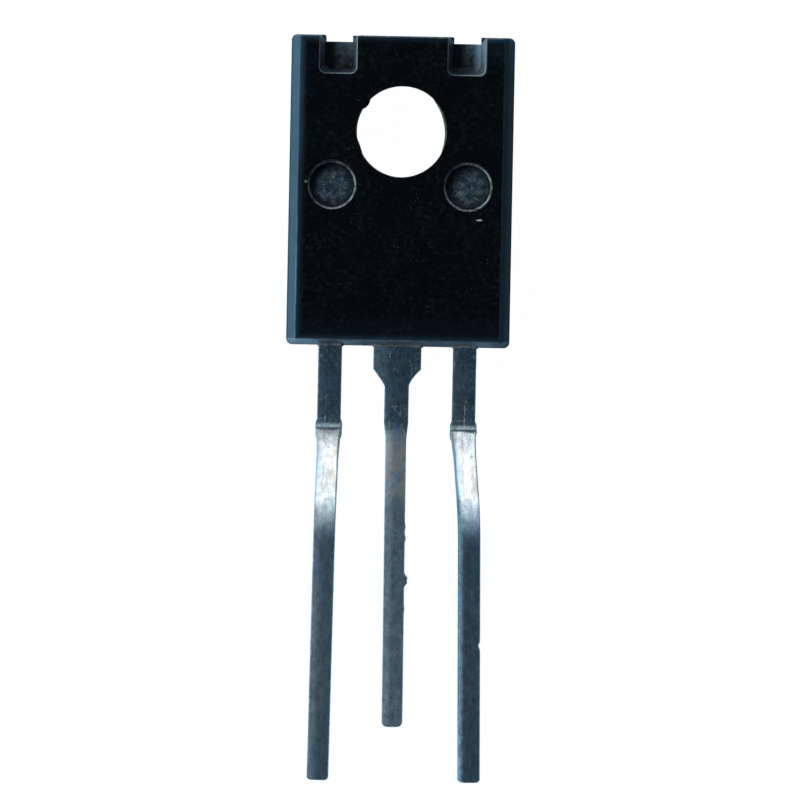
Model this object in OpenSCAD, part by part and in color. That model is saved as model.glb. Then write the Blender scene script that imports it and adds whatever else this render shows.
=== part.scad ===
// Three-lead power transistor in a flat plastic package with a screw hole.
// Millimetres. +Z is the front, +Y the end with the hole, and the leads run to -Y.
// The origin is on the screw hole's axis, in the plane of the metal back.

/* [Body] */
// Width of the body at the parting line
body_w = 7.6; // [7.4:0.05:7.8]
// Length of the body, from the hole end to the lead end
body_h = 10.55; // [10.4:0.05:10.8]
// Thickness of the body, back to front
body_t = 2.6; // [2.5:0.05:2.7]
// Height of the parting line above the back
parting_z = 1.2; // [1.1:0.05:1.3]
// Draft of the two long sides, in front of the parting line
side_draft = 13; // [8:0.5:14]
// Radius of the four upright corners
corner_r = 0.2; // [0.15:0.05:0.4]

/* [Screw hole] */
// Diameter of the screw hole
hole_d = 3.1; // [3.0:0.05:3.2]
// Distance from the hole's axis to the end of the body
hole_from_end = 3.25; // [3.1:0.05:3.6]

/* [Clamp notches and ejector marks] */
// Distance of each notch from the centreline
notch_x = 2.18; // [2.1:0.01:2.3]
// Width of a notch at the front face
notch_w = 1.25; // [1.0:0.05:1.3]
// Length of a notch from the end of the body
notch_l = 1.3; // [1.1:0.05:1.4]
// Diameter of a round ejector mark at the front face
mark_d = 1.6; // [1.4:0.05:1.7]
// Depth of an ejector mark
mark_depth = 0.3; // [0.1:0.05:0.5]

/* [Leads] */
// Distance between neighbouring leads where they leave the body
lead_pitch = 2.29; // [2.25:0.01:2.3]
// Thickness of the lead strip
lead_t = 0.5; // [0.45:0.01:0.55]
// Width of a lead between the body and the cut tie bar
lead_w = 0.8; // [0.7:0.01:0.85]
// Width of a lead below the cut tie bar
lead_w_low = 0.73; // [0.6:0.01:0.75]
// Length of the outer leads beyond the body
outer_lead_l = 14.7; // [12:0.1:16]
// Length of the middle lead beyond the body
middle_lead_l = 12.95; // [10:0.05:16]

/* [Lead forming] */
// Distance from the body to the upper bend of the outer leads
crease_l = 2.8; // [2.5:0.1:3.2]
// Angle of the outer leads' offset
jog_angle = 38; // [20:1:45]
// Length of the sloping stretch of the outer leads
jog_l = 2.7; // [1.5:0.05:3.0]
// Angle of the slight bend in the middle lead
middle_jog_angle = 5; // [2:0.5:8]
// Twist of the right-hand lead below its upper bend
right_twist = 6; // [0:1:12]
// Outward splay of the left-hand lead below its upper bend
left_splay = 0.5; // [0:0.05:1.5]
// Outward splay of the right-hand lead below its upper bend
right_splay = 0.95; // [0:0.05:1.5]
// Sideways lean of the middle lead below its bend
middle_lean = 0.35; // [0:0.05:1]

/* [Hidden] */
$fn = 64;
eps = 0.01;

// The body's ends, seen from the hole's axis
body_top = hole_from_end;
body_bottom = body_top - body_h;
front_h = body_t - parting_z;
top_draft = 1;
bottom_draft = 7.5;
back_draft = 2;
edge_break = 0.1;

// The notches' flared mouths
mouth_outer = 0.17;
mouth_inner = 0.1;
mouth_l = 0.2;

// The collector's heat spreader: a thick plate with a stepped edge that locks it in the moulding
spreader_t = 1.3;
spreader_w = 6.3;
spreader_inset = 0.23;
spreader_top = body_top - spreader_inset;
spreader_bottom = body_bottom + 2.2;
spreader_corner_r = 0.4;
pad_t = 0.45;
pad_step = 0.4;
spreader_hole_d = 4.1;
pad_hole_d = 4.6;
groove_w = 0.3;
groove_y = -2.4;

// The mid plane of the lead strip, level with the parting line
lead_z = parting_z;

// The middle lead's wide shoulder and the chamfers below it
shoulder_w = 1.62;
shoulder_l = 0.78;
chamfer_run = 0.58;
neck_w = 0.82;
middle_w_cut = 0.03;
neck_end = 3.15;
middle_crease_l = 2.5;
middle_jog_l = 2.05;
middle_bend_r = 6;

// The outer leads: bond posts inside the body, and the bends outside it
post_w = 1.85;
post_l = 0.8;
post_top = spreader_bottom - 0.45;
post_inner_x = 1.25;
lock_r = 0.15;
bulge = 0.05;
bulge_l = 0.32;
crease_overlap = 0.05;
upper_bend_r = 0.35;
lower_bend_r = 2.5;
tip_cut = 0.09;

// The silicon die, the solder beneath it and the wires above it
die_size = 1.9;
die_t = 0.2;
die_y = spreader_bottom + 1.25;
solder_size = 2.1;
solder_t = 0.05;
die_top = spreader_t + solder_t + die_t;
post_front = lead_z + lead_t / 2;
emitter_wire_d = 0.25;
base_wire_d = 0.18;
wire_foot_l = 0.45;
emitter_bond = [-0.4, die_y - 0.1];
emitter_post_bond = [-2.05, post_top - 0.4];
base_bond = [0.55, die_y - 0.45];
base_post_bond = [2.05, post_top - 0.4];

// ---- flat helpers -------------------------------------------------------

// Rectangle between two corners, with round corners made of true circles
module round_rect(low, high, r) {
    size = high - low;
    translate(low + [r, 0]) square([size.x - 2 * r, size.y]);
    translate(low + [0, r]) square([size.x, size.y - 2 * r]);
    for (x = [low.x + r, high.x - r], y = [low.y + r, high.y - r])
        translate([x, y]) circle(r);
}

// Outline that is the same on both sides of the Y axis, from its right-hand half
module mirrored_polygon(half) {
    polygon(concat(half, [for (i = [len(half) - 1:-1:0]) [-half[i].x, half[i].y]]));
}

// Extrudes a profile drawn as x and z, from y_low to y_high
module along_y(y_low, y_high) {
    translate([0, y_high, 0]) rotate([90, 0, 0]) linear_extrude(y_high - y_low) children();
}

// Extrudes a profile drawn as y and z, over a width centred on x
module along_x(width) {
    translate([-width / 2, 0, 0]) rotate([90, 0, 90]) linear_extrude(width) children();
}

// Arc of strip that leaves the origin along +x and turns by angle towards +y
module arc_strip(r, angle, t) {
    reach = 4 * r;
    translate([0, r]) intersection() {
        difference() {
            circle(r + t / 2);
            circle(r - t / 2);
        }
        polygon([[0, 0], [0, -reach], [reach * sin(angle), -reach * cos(angle)]]);
    }
}

// Straight stretch of strip that laps its neighbours by a hair, with whatever follows placed at its far end
module straight_then(length, t) {
    translate([-eps, -t / 2]) square([length + 2 * eps, t]);
    translate([length, 0]) children();
}

// Bend towards +y, with whatever follows placed at its far end
module bend_then(r, angle, t) {
    arc_strip(r, angle, t);
    translate([r * sin(angle), r * (1 - cos(angle))]) rotate(angle) children();
}

// Side view of an offset: a bend forward, a slope, a bend back, and a straight end
module jog_profile(angle, r_up, slope_l, r_low, end_l, t) {
    bend_then(r_up, angle, t)
        straight_then(slope_l, t)
            mirror([0, 1]) bend_then(r_low, angle, t)
                straight_then(end_l, t);
}

// Length that an offset takes up along the lead, seen from the front
function jog_run(angle, r_up, slope_l, r_low) = (r_up + r_low) * sin(angle) + slope_l * cos(angle);

// ---- moulded case -------------------------------------------------------

// Width and length profiles give the drafts, and the plan gives the round corners
module case_block() {
    half_w = body_w / 2;
    back_half = half_w - parting_z * tan(back_draft);
    front_half = half_w - front_h * tan(side_draft);
    back_inset = parting_z * tan(back_draft);
    top_inset = front_h * tan(top_draft);
    bottom_inset = front_h * tan(bottom_draft);
    intersection() {
        along_y(body_bottom, body_top) mirrored_polygon([
            [back_half, 0],
            [half_w, parting_z],
            [front_half + edge_break * tan(side_draft), body_t - edge_break],
            [front_half - edge_break, body_t]
        ]);
        along_x(2 * body_w) polygon([
            [body_bottom + back_inset, 0],
            [body_bottom, parting_z],
            [body_bottom + bottom_inset - edge_break * tan(bottom_draft), body_t - edge_break],
            [body_bottom + bottom_inset + edge_break, body_t],
            [body_top - top_inset - edge_break, body_t],
            [body_top - top_inset + edge_break * tan(top_draft), body_t - edge_break],
            [body_top, parting_z],
            [body_top - back_inset, 0]
        ]);
        linear_extrude(body_t)
            round_rect([-half_w, body_bottom], [half_w, body_top], corner_r);
    }
}

// Notch left by a mould clamp: drafted walls down to the spreader, and open at the end
module clamp_notch() {
    wall_run = (body_t - spreader_t) * tan(7);
    floor_half = notch_w / 2 - wall_run;
    over = 0.5;
    over_run = over * tan(7);
    notch_bottom = body_top - notch_l;
    intersection() {
        along_y(notch_bottom - over, body_top + over) mirrored_polygon([
            [floor_half, spreader_t],
            [notch_w / 2 + over_run, body_t + over]
        ]);
        along_x(2 * notch_w) polygon([
            [notch_bottom + wall_run, spreader_t],
            [body_top + over, spreader_t],
            [body_top + over, body_t + over],
            [notch_bottom - over_run, body_t + over]
        ]);
        linear_extrude(body_t + over) round_rect(
            [-notch_w / 2, notch_bottom], [notch_w / 2, body_top + over], 0.2);
    }
    // the walls open out where they meet the end of the body
    translate([0, body_top, spreader_t]) linear_extrude(body_t) polygon([
        [-floor_half, -mouth_l],
        [floor_half, -mouth_l],
        [floor_half + mouth_outer, 0],
        [floor_half + mouth_outer, over],
        [-floor_half - mouth_inner, over],
        [-floor_half - mouth_inner, 0]
    ]);
    // the clamp also closes on the spreader's end face
    translate([-floor_half, spreader_top, -over])
        cube([2 * floor_half, spreader_inset + over, spreader_t + over + eps]);
}

module ejector_mark() {
    wall = tan(19);
    translate([0, 0, body_t - mark_depth])
        cylinder(h = mark_depth + 0.2, r1 = mark_d / 2 - mark_depth * wall, r2 = mark_d / 2 + 0.2 * wall);
}

module moulded_case() {
    mark_x = 2.31;
    mark_y = -1.85;
    color([0.07, 0.075, 0.08]) difference() {
        case_block();
        translate([0, 0, -1]) cylinder(h = body_t + 2, d = hole_d, $fn = 96);
        for (side = [-1, 1]) {
            mirror([side < 0 ? 1 : 0, 0, 0]) translate([notch_x, 0, 0]) clamp_notch();
            translate([side * mark_x, mark_y, 0]) ejector_mark();
        }
        collector_frame_shape();
        outer_lead_shape(-1, 0, left_splay);
        outer_lead_shape(1, right_twist, right_splay);
        die_solder_shape();
        silicon_die_shape();
        emitter_wire_shape();
        base_wire_shape();
    }
}

// ---- collector frame ----------------------------------------------------

module spreader() {
    half_w = spreader_w / 2;
    difference() {
        union() {
            translate([0, 0, pad_t]) linear_extrude(spreader_t - pad_t) round_rect(
                [-half_w, spreader_bottom], [half_w, spreader_top], spreader_corner_r);
            linear_extrude(pad_t) round_rect(
                [-half_w + pad_step, spreader_bottom + pad_step],
                [half_w - pad_step, spreader_top - pad_step], spreader_corner_r);
        }
        translate([0, 0, pad_t]) cylinder(h = spreader_t, d = spreader_hole_d, $fn = 96);
        translate([0, 0, -1]) cylinder(h = 1 + pad_t, d = pad_hole_d, $fn = 96);
        // groove that anchors the moulding in front of the die
        translate([-spreader_w, groove_y, spreader_t]) rotate([45, 0, 0])
            translate([0, -groove_w / 2, -groove_w / 2]) cube([2 * spreader_w, groove_w, groove_w]);
    }
}

// Side view of the middle lead: it rises from the spreader to the lead plane, then runs out
module middle_lead_side() {
    rise_top = spreader_bottom + 0.15;
    rise_end = spreader_bottom - 0.5;
    polygon([
        [rise_top, spreader_t - lead_t],
        [rise_top, spreader_t],
        [rise_end, post_front],
        [rise_end, post_front - lead_t]
    ]);
    straight_l = rise_end - (body_bottom - middle_crease_l);
    run = jog_run(middle_jog_angle, middle_bend_r, middle_jog_l, middle_bend_r);
    translate([rise_end, lead_z]) mirror([1, 0]) straight_then(straight_l, lead_t)
        jog_profile(middle_jog_angle, middle_bend_r, middle_jog_l, middle_bend_r,
            middle_lead_l - middle_crease_l - run, lead_t);
}

// Front view of the middle lead: shoulder, chamfers and neck, then a leaning stretch to a rounded tip
module middle_lead_plan() {
    chamfer_top = body_bottom - shoulder_l;
    crease_y = body_bottom - middle_crease_l;
    tip_y = middle_crease_l - middle_lead_l;
    tip_r = 0.18;
    low_half = (lead_w_low - middle_w_cut) / 2;
    mirrored_polygon([
        [shoulder_w / 2, spreader_bottom + 1],
        [shoulder_w / 2, chamfer_top],
        [neck_w / 2, chamfer_top - chamfer_run],
        [neck_w / 2, body_bottom - neck_end + 0.55],
        [low_half, body_bottom - neck_end]
    ]);
    translate([0, crease_y]) rotate(middle_lean) {
        mirrored_polygon([[low_half, 0], [low_half, tip_y + tip_r]]);
        round_rect([-low_half, tip_y], [low_half, tip_y + 3 * tip_r], tip_r);
    }
}

module collector_frame_shape() {
    spreader();
    intersection() {
        along_x(2 * shoulder_w) middle_lead_side();
        linear_extrude(3 * body_t) middle_lead_plan();
    }
}

module collector_frame() {
    color([0.62, 0.65, 0.67]) collector_frame_shape();
}

// ---- outer leads --------------------------------------------------------

// Bond post and the straight stretch down to the upper bend, drawn for the right-hand side
module outer_lead_top_plan() {
    x = lead_pitch;
    crease_y = body_bottom - crease_l;
    difference() {
        union() {
            round_rect([post_inner_x, post_top - post_l], [post_inner_x + post_w, post_top], 0.12);
            translate([x - lead_w / 2, crease_y + bulge_l])
                square([lead_w, post_top - post_l / 2 - crease_y - bulge_l]);
            translate([x, crease_y]) mirrored_polygon([
                [lead_w / 2 + bulge, 0],
                [lead_w / 2 + bulge, bulge_l / 2],
                [lead_w / 2, bulge_l + eps]
            ]);
        }
        for (side = [-1, 1])
            translate([x + side * lead_w / 2, (body_bottom + post_top - post_l) / 2]) circle(lock_r);
    }
}

// Front view of the formed stretch, from the upper bend at the origin down to the tip
module outer_lead_low_plan(length) {
    half = lead_w_low / 2;
    mirrored_polygon([
        [lead_w / 2 + bulge, crease_overlap],
        [lead_w / 2 + bulge, -bulge_l / 2],
        [lead_w / 2, -bulge_l],
        [half, -3 * bulge_l],
        [half, -length + tip_cut],
        [half - tip_cut, -length]
    ]);
}

module outer_lead_low() {
    length = outer_lead_l - crease_l;
    run = jog_run(jog_angle, upper_bend_r, jog_l, lower_bend_r);
    intersection() {
        along_x(3 * lead_w) mirror([1, 0]) translate([-crease_overlap, 0])
            straight_then(crease_overlap, lead_t)
                jog_profile(jog_angle, upper_bend_r, jog_l, lower_bend_r, length - run, lead_t);
        translate([0, 0, -body_t]) linear_extrude(4 * body_t) outer_lead_low_plan(length);
    }
}

// side is -1 for the left-hand lead and 1 for the right-hand one
module outer_lead_shape(side, twist, splay) {
    mirror([side < 0 ? 1 : 0, 0, 0]) {
        translate([0, 0, lead_z - lead_t / 2]) linear_extrude(lead_t) outer_lead_top_plan();
        translate([lead_pitch, body_bottom - crease_l, lead_z])
            rotate([0, twist, splay]) outer_lead_low();
    }
}

module emitter_lead() {
    color([0.62, 0.65, 0.67]) outer_lead_shape(-1, 0, left_splay);
}

module base_lead() {
    color([0.62, 0.65, 0.67]) outer_lead_shape(1, right_twist, right_splay);
}

// ---- die and wires ------------------------------------------------------

module die_solder_shape() {
    translate([-solder_size / 2, die_y - solder_size / 2, spreader_t])
        cube([solder_size, solder_size, solder_t]);
}

module die_solder() {
    color([0.55, 0.56, 0.58]) die_solder_shape();
}

module silicon_die_shape() {
    translate([-die_size / 2, die_y - die_size / 2, spreader_t + solder_t])
        cube([die_size, die_size, die_t]);
}

module silicon_die() {
    color([0.3, 0.32, 0.38]) silicon_die_shape();
}

// Wedge-bonded wire: an arch between two bond points, with a flattened foot at each end
module bond_wire(die_point, post_point, d, rise) {
    run = post_point - die_point;
    chord = norm(run);
    heading = atan2(run.y, run.x);
    r = (chord * chord / 4 + rise * rise) / (2 * rise);
    half_angle = asin(chord / 2 / r);
    translate([die_point.x, die_point.y, 0]) rotate(heading) difference() {
        union() {
            translate([chord / 2, 0, post_front + rise - r]) rotate([90, 0, 0])
                rotate([0, 0, 90 - half_angle - 6])
                    rotate_extrude(angle = 2 * half_angle + 12) translate([r, 0]) circle(d = d, $fn = 24);
            for (foot = [[0, die_top], [chord, post_front]])
                translate([foot.x - wire_foot_l / 2, 0, foot.y - 0.2 * d]) rotate([0, 90, 0])
                    cylinder(h = wire_foot_l, d = 1.4 * d, $fn = 24);
        }
        translate([-2 * chord, -1, post_front - 2]) cube([4 * chord, 2, 2]);
        translate([-chord, -1, post_front - eps]) cube([1.5 * chord, 2, die_top - post_front + eps]);
    }
}

module emitter_wire_shape() {
    bond_wire(emitter_bond, emitter_post_bond, emitter_wire_d, 0.62);
}

module emitter_wire() {
    color([0.8, 0.81, 0.82]) emitter_wire_shape();
}

module base_wire_shape() {
    bond_wire(base_bond, base_post_bond, base_wire_d, 0.6);
}

module base_wire() {
    color([0.8, 0.81, 0.82]) base_wire_shape();
}

moulded_case();
collector_frame();
emitter_lead();
base_lead();
die_solder();
silicon_die();
emitter_wire();
base_wire();
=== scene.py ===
"""Looks of a three-lead power transistor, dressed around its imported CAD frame.

Shapes are drawn in millimetres and turned to metres when a piece is finished.
The front faces +Z, the hole end +Y, and the leads run to -Y.
"""

import logging
import math
from dataclasses import dataclass, field
from enum import Enum
from typing import Any, Callable, Iterable, Sequence

import bmesh
import bpy
from mathutils import Matrix, Vector


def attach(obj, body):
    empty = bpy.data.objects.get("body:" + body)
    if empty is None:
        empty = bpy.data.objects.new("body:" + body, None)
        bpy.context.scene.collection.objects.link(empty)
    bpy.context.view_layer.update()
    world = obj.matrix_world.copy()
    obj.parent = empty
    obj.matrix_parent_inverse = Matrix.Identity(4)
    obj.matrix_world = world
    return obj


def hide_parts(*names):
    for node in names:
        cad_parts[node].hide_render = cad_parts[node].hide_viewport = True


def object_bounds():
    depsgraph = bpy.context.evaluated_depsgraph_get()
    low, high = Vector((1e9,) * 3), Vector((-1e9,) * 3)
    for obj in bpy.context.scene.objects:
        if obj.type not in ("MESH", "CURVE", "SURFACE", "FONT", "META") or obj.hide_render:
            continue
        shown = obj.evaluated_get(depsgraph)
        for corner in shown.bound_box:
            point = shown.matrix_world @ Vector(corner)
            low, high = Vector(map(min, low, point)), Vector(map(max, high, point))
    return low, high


Colour = tuple[float, float, float]
Point = tuple[float, float, float]
Flat = tuple[float, float]
Line = tuple[list[Point], bool]

MM = 0.001
# Places nearer than CLOSE, in millimetres, count as one; a round hole has HOLE_STEPS sides
CLOSE = 0.01
HOLE_STEPS = 128
log = logging.getLogger("power_transistor")
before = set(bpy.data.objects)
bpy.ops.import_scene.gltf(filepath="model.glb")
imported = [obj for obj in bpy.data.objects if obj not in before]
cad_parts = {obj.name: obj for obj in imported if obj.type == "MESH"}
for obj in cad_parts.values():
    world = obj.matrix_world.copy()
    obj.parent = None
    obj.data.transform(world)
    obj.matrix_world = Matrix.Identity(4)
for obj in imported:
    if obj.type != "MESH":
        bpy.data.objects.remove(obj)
cad_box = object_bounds()


class Coordinates(Enum):
    """Where a finish reads its pattern from."""

    OBJECT = "object"
    STRIP = "strip"


class Joining(Enum):
    """How one solid acts on another."""

    CUT = "DIFFERENCE"
    ADD = "UNION"


# ---- nodes --------------------------------------------------------------


class Value:
    """A number that varies over a surface; arithmetic on it adds Math nodes."""

    def __init__(self, graph: "Graph", socket: bpy.types.NodeSocket) -> None:
        """Wraps one output socket of a graph."""
        self.graph = graph
        self.socket = socket

    def math(self, operation: str, *operands: "Value | float") -> "Value":
        """Adds one Math node.

        Args:
            operation: Name of the operation.
            operands: Values or numbers, in the node's order.

        Returns:
            The node's result.
        """
        return self.graph.value("ShaderNodeMath", {"operation": operation}, dict(enumerate(operands)))

    def __add__(self, other: "Value | float") -> "Value":
        """Sum."""
        return self.math("ADD", self, other)

    def __radd__(self, other: float) -> "Value":
        """Sum with a number in front."""
        return self.math("ADD", other, self)

    def __sub__(self, other: "Value | float") -> "Value":
        """Difference."""
        return self.math("SUBTRACT", self, other)

    def __rsub__(self, other: float) -> "Value":
        """Number minus this value."""
        return self.math("SUBTRACT", other, self)

    def __mul__(self, other: "Value | float") -> "Value":
        """Product."""
        return self.math("MULTIPLY", self, other)

    def __rmul__(self, other: float) -> "Value":
        """Product with a number in front."""
        return self.math("MULTIPLY", other, self)

    def __truediv__(self, other: "Value | float") -> "Value":
        """Quotient."""
        return self.math("DIVIDE", self, other)

    def __rtruediv__(self, other: float) -> "Value":
        """Number divided by this value."""
        return self.math("DIVIDE", other, self)

    def __pow__(self, other: "Value | float") -> "Value":
        """Power."""
        return self.math("POWER", self, other)

    def __neg__(self) -> "Value":
        """Opposite."""
        return self.math("MULTIPLY", self, -1.0)

    def __abs__(self) -> "Value":
        """Size without the sign."""
        return self.math("ABSOLUTE", self)

    def most(self, other: "Value | float") -> "Value":
        """The larger of two."""
        return self.math("MAXIMUM", self, other)

    def least(self, other: "Value | float") -> "Value":
        """The smaller of two."""
        return self.math("MINIMUM", self, other)

    def rise(self, low: float, high: float) -> "Value":
        """Smooth step.

        Args:
            low: Where the step starts; it may lie above high for a falling step.
            high: Where the step is complete.

        Returns:
            0 before low and 1 past high.
        """
        start, end, first, last = (low, high, 0.0, 1.0) if low < high else (high, low, 1.0, 0.0)
        return self.graph.value(
            "ShaderNodeMapRange", {"interpolation_type": "SMOOTHSTEP"},
            {0: self, 1: start, 2: end, 3: first, 4: last})

    def band(self, centre: float, half: float, soft: float) -> "Value":
        """1 within half of centre, fading to 0 over soft on both sides."""
        return abs(self - centre).rise(half + soft, half)


class Graph:
    """A node tree, with one method for every kind of node."""

    def __init__(self, tree: bpy.types.NodeTree) -> None:
        """Starts from an empty tree."""
        self.tree = tree
        tree.nodes.clear()

    def node(
        self, kind: str, settings: dict[str, Any] | None = None,
        inputs: dict[int | str, Any] | None = None,
    ) -> bpy.types.Node:
        """Adds a node.

        Args:
            kind: The node's type.
            settings: Its properties; "stops" are a ramp's positions and colours, and "items" is
                how many inputs an index switch has.
            inputs: Numbers, colours, values or sockets by socket name or place.

        Returns:
            The node.
        """
        made = self.tree.nodes.new(kind)
        for name, setting in (settings or {}).items():
            if name == "stops":
                self._set_stops(made.color_ramp, setting)
            elif name == "items":
                for _ in range(setting - 2):
                    made.index_switch_items.new()
            else:
                setattr(made, name, setting)
        for key, given in (inputs or {}).items():
            source = given.socket if isinstance(given, Value) else given
            if isinstance(source, bpy.types.NodeSocket):
                self.tree.links.new(source, made.inputs[key])
            else:
                made.inputs[key].default_value = source
        return made

    @staticmethod
    def _set_stops(ramp: bpy.types.ColorRamp, stops: Sequence[tuple[float, Colour]]) -> None:
        """Sets a ramp's stops, in rising order."""
        while len(ramp.elements) < len(stops):
            ramp.elements.new(0.5)
        for element, (place, colour) in zip(ramp.elements, stops):
            element.position = place
            element.color = (*colour, 1.0)

    def value(self, kind: str, settings: dict[str, Any], inputs: dict[int | str, Any]) -> Value:
        """Adds a node and wraps its first output."""
        return Value(self, self.node(kind, settings, inputs).outputs[0])

    def blend(self, amount: Value | float, first: Any, second: Any) -> bpy.types.NodeSocket:
        """Mixes two colours.

        Args:
            amount: 0 for the first colour and 1 for the second.
            first: Colour or socket.
            second: Colour or socket.

        Returns:
            The mixed colour's socket.
        """
        ends = [(*c, 1.0) if isinstance(c, tuple) else c for c in (first, second)]
        made = self.node("ShaderNodeMix", {"data_type": "RGBA"}, {0: amount, 6: ends[0], 7: ends[1]})
        return made.outputs[2]

    def layers(self, colour: Any, *over: tuple[Value | float, Any]) -> bpy.types.NodeSocket:
        """Lays colours over a first one, in order, each by its own amount."""
        for amount, tint in over:
            colour = self.blend(amount, colour, tint)
        return colour

    def vector(self, operation: str, *operands: Any) -> bpy.types.NodeSocket:
        """Adds a Vector Math node; a SCALE takes its number last."""
        keys: list[int] = [0, 3] if operation == "SCALE" else list(range(len(operands)))
        made = self.node("ShaderNodeVectorMath", {"operation": operation}, dict(zip(keys, operands)))
        return made.outputs[0]

    def parts(self, vector: bpy.types.NodeSocket) -> tuple[Value, Value, Value]:
        """Splits a vector into its three values."""
        made = self.node("ShaderNodeSeparateXYZ", inputs={0: vector})
        return Value(self, made.outputs[0]), Value(self, made.outputs[1]), Value(self, made.outputs[2])

    def rays(self, *kinds: str) -> list[Value]:
        """For each named kind of light ray: 1 where the ray is of that kind, and 0 elsewhere."""
        path = self.node("ShaderNodeLightPath")
        return [Value(self, path.outputs[kind]) for kind in kinds]

    def together(self, x: Value | float, y: Value | float, z: Value | float) -> bpy.types.NodeSocket:
        """Makes a vector of three values."""
        return self.node("ShaderNodeCombineXYZ", inputs={0: x, 1: y, 2: z}).outputs[0]

    def noise(
        self, vector: bpy.types.NodeSocket, scale: float, detail: float = 3.0, rough: float = 0.5,
    ) -> Value:
        """Fractal noise from 0 to 1."""
        return self.value("ShaderNodeTexNoise", {}, {
            "Vector": vector, "Scale": scale, "Detail": detail, "Roughness": rough})

    def stretched(
        self, vector: bpy.types.NodeSocket, scales: Point, turn: float = 0.0,
    ) -> bpy.types.NodeSocket:
        """The pattern's coordinates, turned about Z and scaled on each axis."""
        return self.node("ShaderNodeMapping", {}, {
            "Vector": vector, "Rotation": (0.0, 0.0, turn), "Scale": scales}).outputs[0]


class Surface(Graph):
    """Node tree of a Principled material whose patterns are in millimetres."""

    def __init__(self, name: str, coordinates: Coordinates = Coordinates.OBJECT) -> None:
        """Makes the material and its pattern coordinates.

        Args:
            name: The material's name.
            coordinates: The piece's own coordinates, or those of the flat strip before bending.
        """
        self.material = bpy.data.materials.new(name)
        self.material.use_nodes = True
        super().__init__(self.material.node_tree)
        object_mm = self.vector("SCALE", self.node("ShaderNodeTexCoord").outputs["Object"], 1.0 / MM)
        self.place = object_mm
        self.grain = object_mm
        if coordinates is Coordinates.STRIP:
            source = {"attribute_name": Coordinates.STRIP.value}
            self.grain = self.node("ShaderNodeAttribute", source).outputs["Vector"]

    def finish(
        self, colour: bpy.types.NodeSocket, rough: Value, metallic: Value | float, height: Value,
        **constants: float,
    ) -> bpy.types.Material:
        """Connects the Principled shader.

        Args:
            colour: Base colour.
            rough: Roughness.
            metallic: Metallic share.
            height: Relief in millimetres.
            constants: Other Principled inputs, by name with underscores.

        Returns:
            The material.
        """
        bump = self.node("ShaderNodeBump", {}, {"Strength": 1.0, "Distance": MM, "Height": height})
        shader = self.node("ShaderNodeBsdfPrincipled", {}, {
            "Base Color": colour, "Roughness": rough, "Metallic": metallic, "Normal": bump.outputs[0],
            **{name.replace("_", " "): given for name, given in constants.items()}})
        self.node("ShaderNodeOutputMaterial", {}, {"Surface": shader.outputs[0]})
        return self.material


# ---- sizes shared by several pieces -------------------------------------


@dataclass(frozen=True)
class Package:
    """Main sizes of the package in millimetres, and drafts in degrees, as the CAD source has them."""

    width: float = 7.6
    top: float = 3.25
    bottom: float = -7.3
    thickness: float = 2.6
    parting: float = 1.2
    side_draft: float = 13.0
    top_draft: float = 1.0
    bottom_draft: float = 7.5
    back_draft: float = 2.0
    hole: float = 3.1
    notch_x: float = 2.18
    notch_width: float = 1.25
    notch_length: float = 1.3
    notch_draft: float = 7.0
    notch_corner: float = 0.2
    mouth_outer: float = 0.17
    mouth_inner: float = 0.10
    mouth_length: float = 0.20
    mark_x: float = 2.31
    mark_y: float = -1.85
    mark: float = 1.6
    mark_depth: float = 0.3
    plate_front: float = 1.3
    plate_back: float = 0.45
    plate_width: float = 6.3
    plate_top: float = 3.02
    plate_bottom: float = -5.1
    pad_step: float = 0.4
    lead_z: float = 1.2
    lead_thickness: float = 0.5
    pitch: float = 2.29

    def half_width(self, z: float) -> float:
        """Half the case's width at a height."""
        return self.width / 2 - self.inset(z, self.side_draft)

    def inset(self, z: float, front_draft: float) -> float:
        """How far a drafted wall has moved in from the parting line, at a height."""
        if z >= self.parting:
            return (z - self.parting) * math.tan(math.radians(front_draft))
        return (self.parting - z) * math.tan(math.radians(self.back_draft))

    def ends(self, z: float) -> tuple[float, float]:
        """The lead end and the hole end of the case at a height."""
        return self.bottom + self.inset(z, self.bottom_draft), self.top - self.inset(z, self.top_draft)

    def notch_floor_half(self) -> float:
        """Half the width of a clamp notch at the spreader."""
        run = (self.thickness - self.plate_front) * math.tan(math.radians(self.notch_draft))
        return self.notch_width / 2 - run


PACKAGE = Package()


# ---- mesh helpers -------------------------------------------------------


def arc(centre: Flat, radius: float, start: float, end: float, steps: int) -> list[Flat]:
    """Points along an arc.

    Args:
        centre: The arc's centre.
        radius: Its radius.
        start: First angle in degrees.
        end: Last angle in degrees.
        steps: Number of chords.

    Returns:
        steps + 1 points.
    """
    angles = [math.radians(start + (end - start) * i / steps) for i in range(steps + 1)]
    return [(centre[0] + radius * math.cos(a), centre[1] + radius * math.sin(a)) for a in angles]


def circle(centre: Flat, radius: float, steps: int) -> list[Flat]:
    """Evenly spaced points round a circle."""
    return arc(centre, radius, 0, 360 - 360 / steps, steps - 1)


def round_rectangle(low: Flat, high: Flat, radius: float, steps: int = 6) -> list[Flat]:
    """Outline of a rectangle with round corners, anticlockwise."""
    corners = [((high[0] - radius, low[1] + radius), -90), ((high[0] - radius, high[1] - radius), 0),
               ((low[0] + radius, high[1] - radius), 90), ((low[0] + radius, low[1] + radius), 180)]
    return [p for centre, start in corners for p in arc(centre, radius, start, start + 90, steps)]


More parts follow.
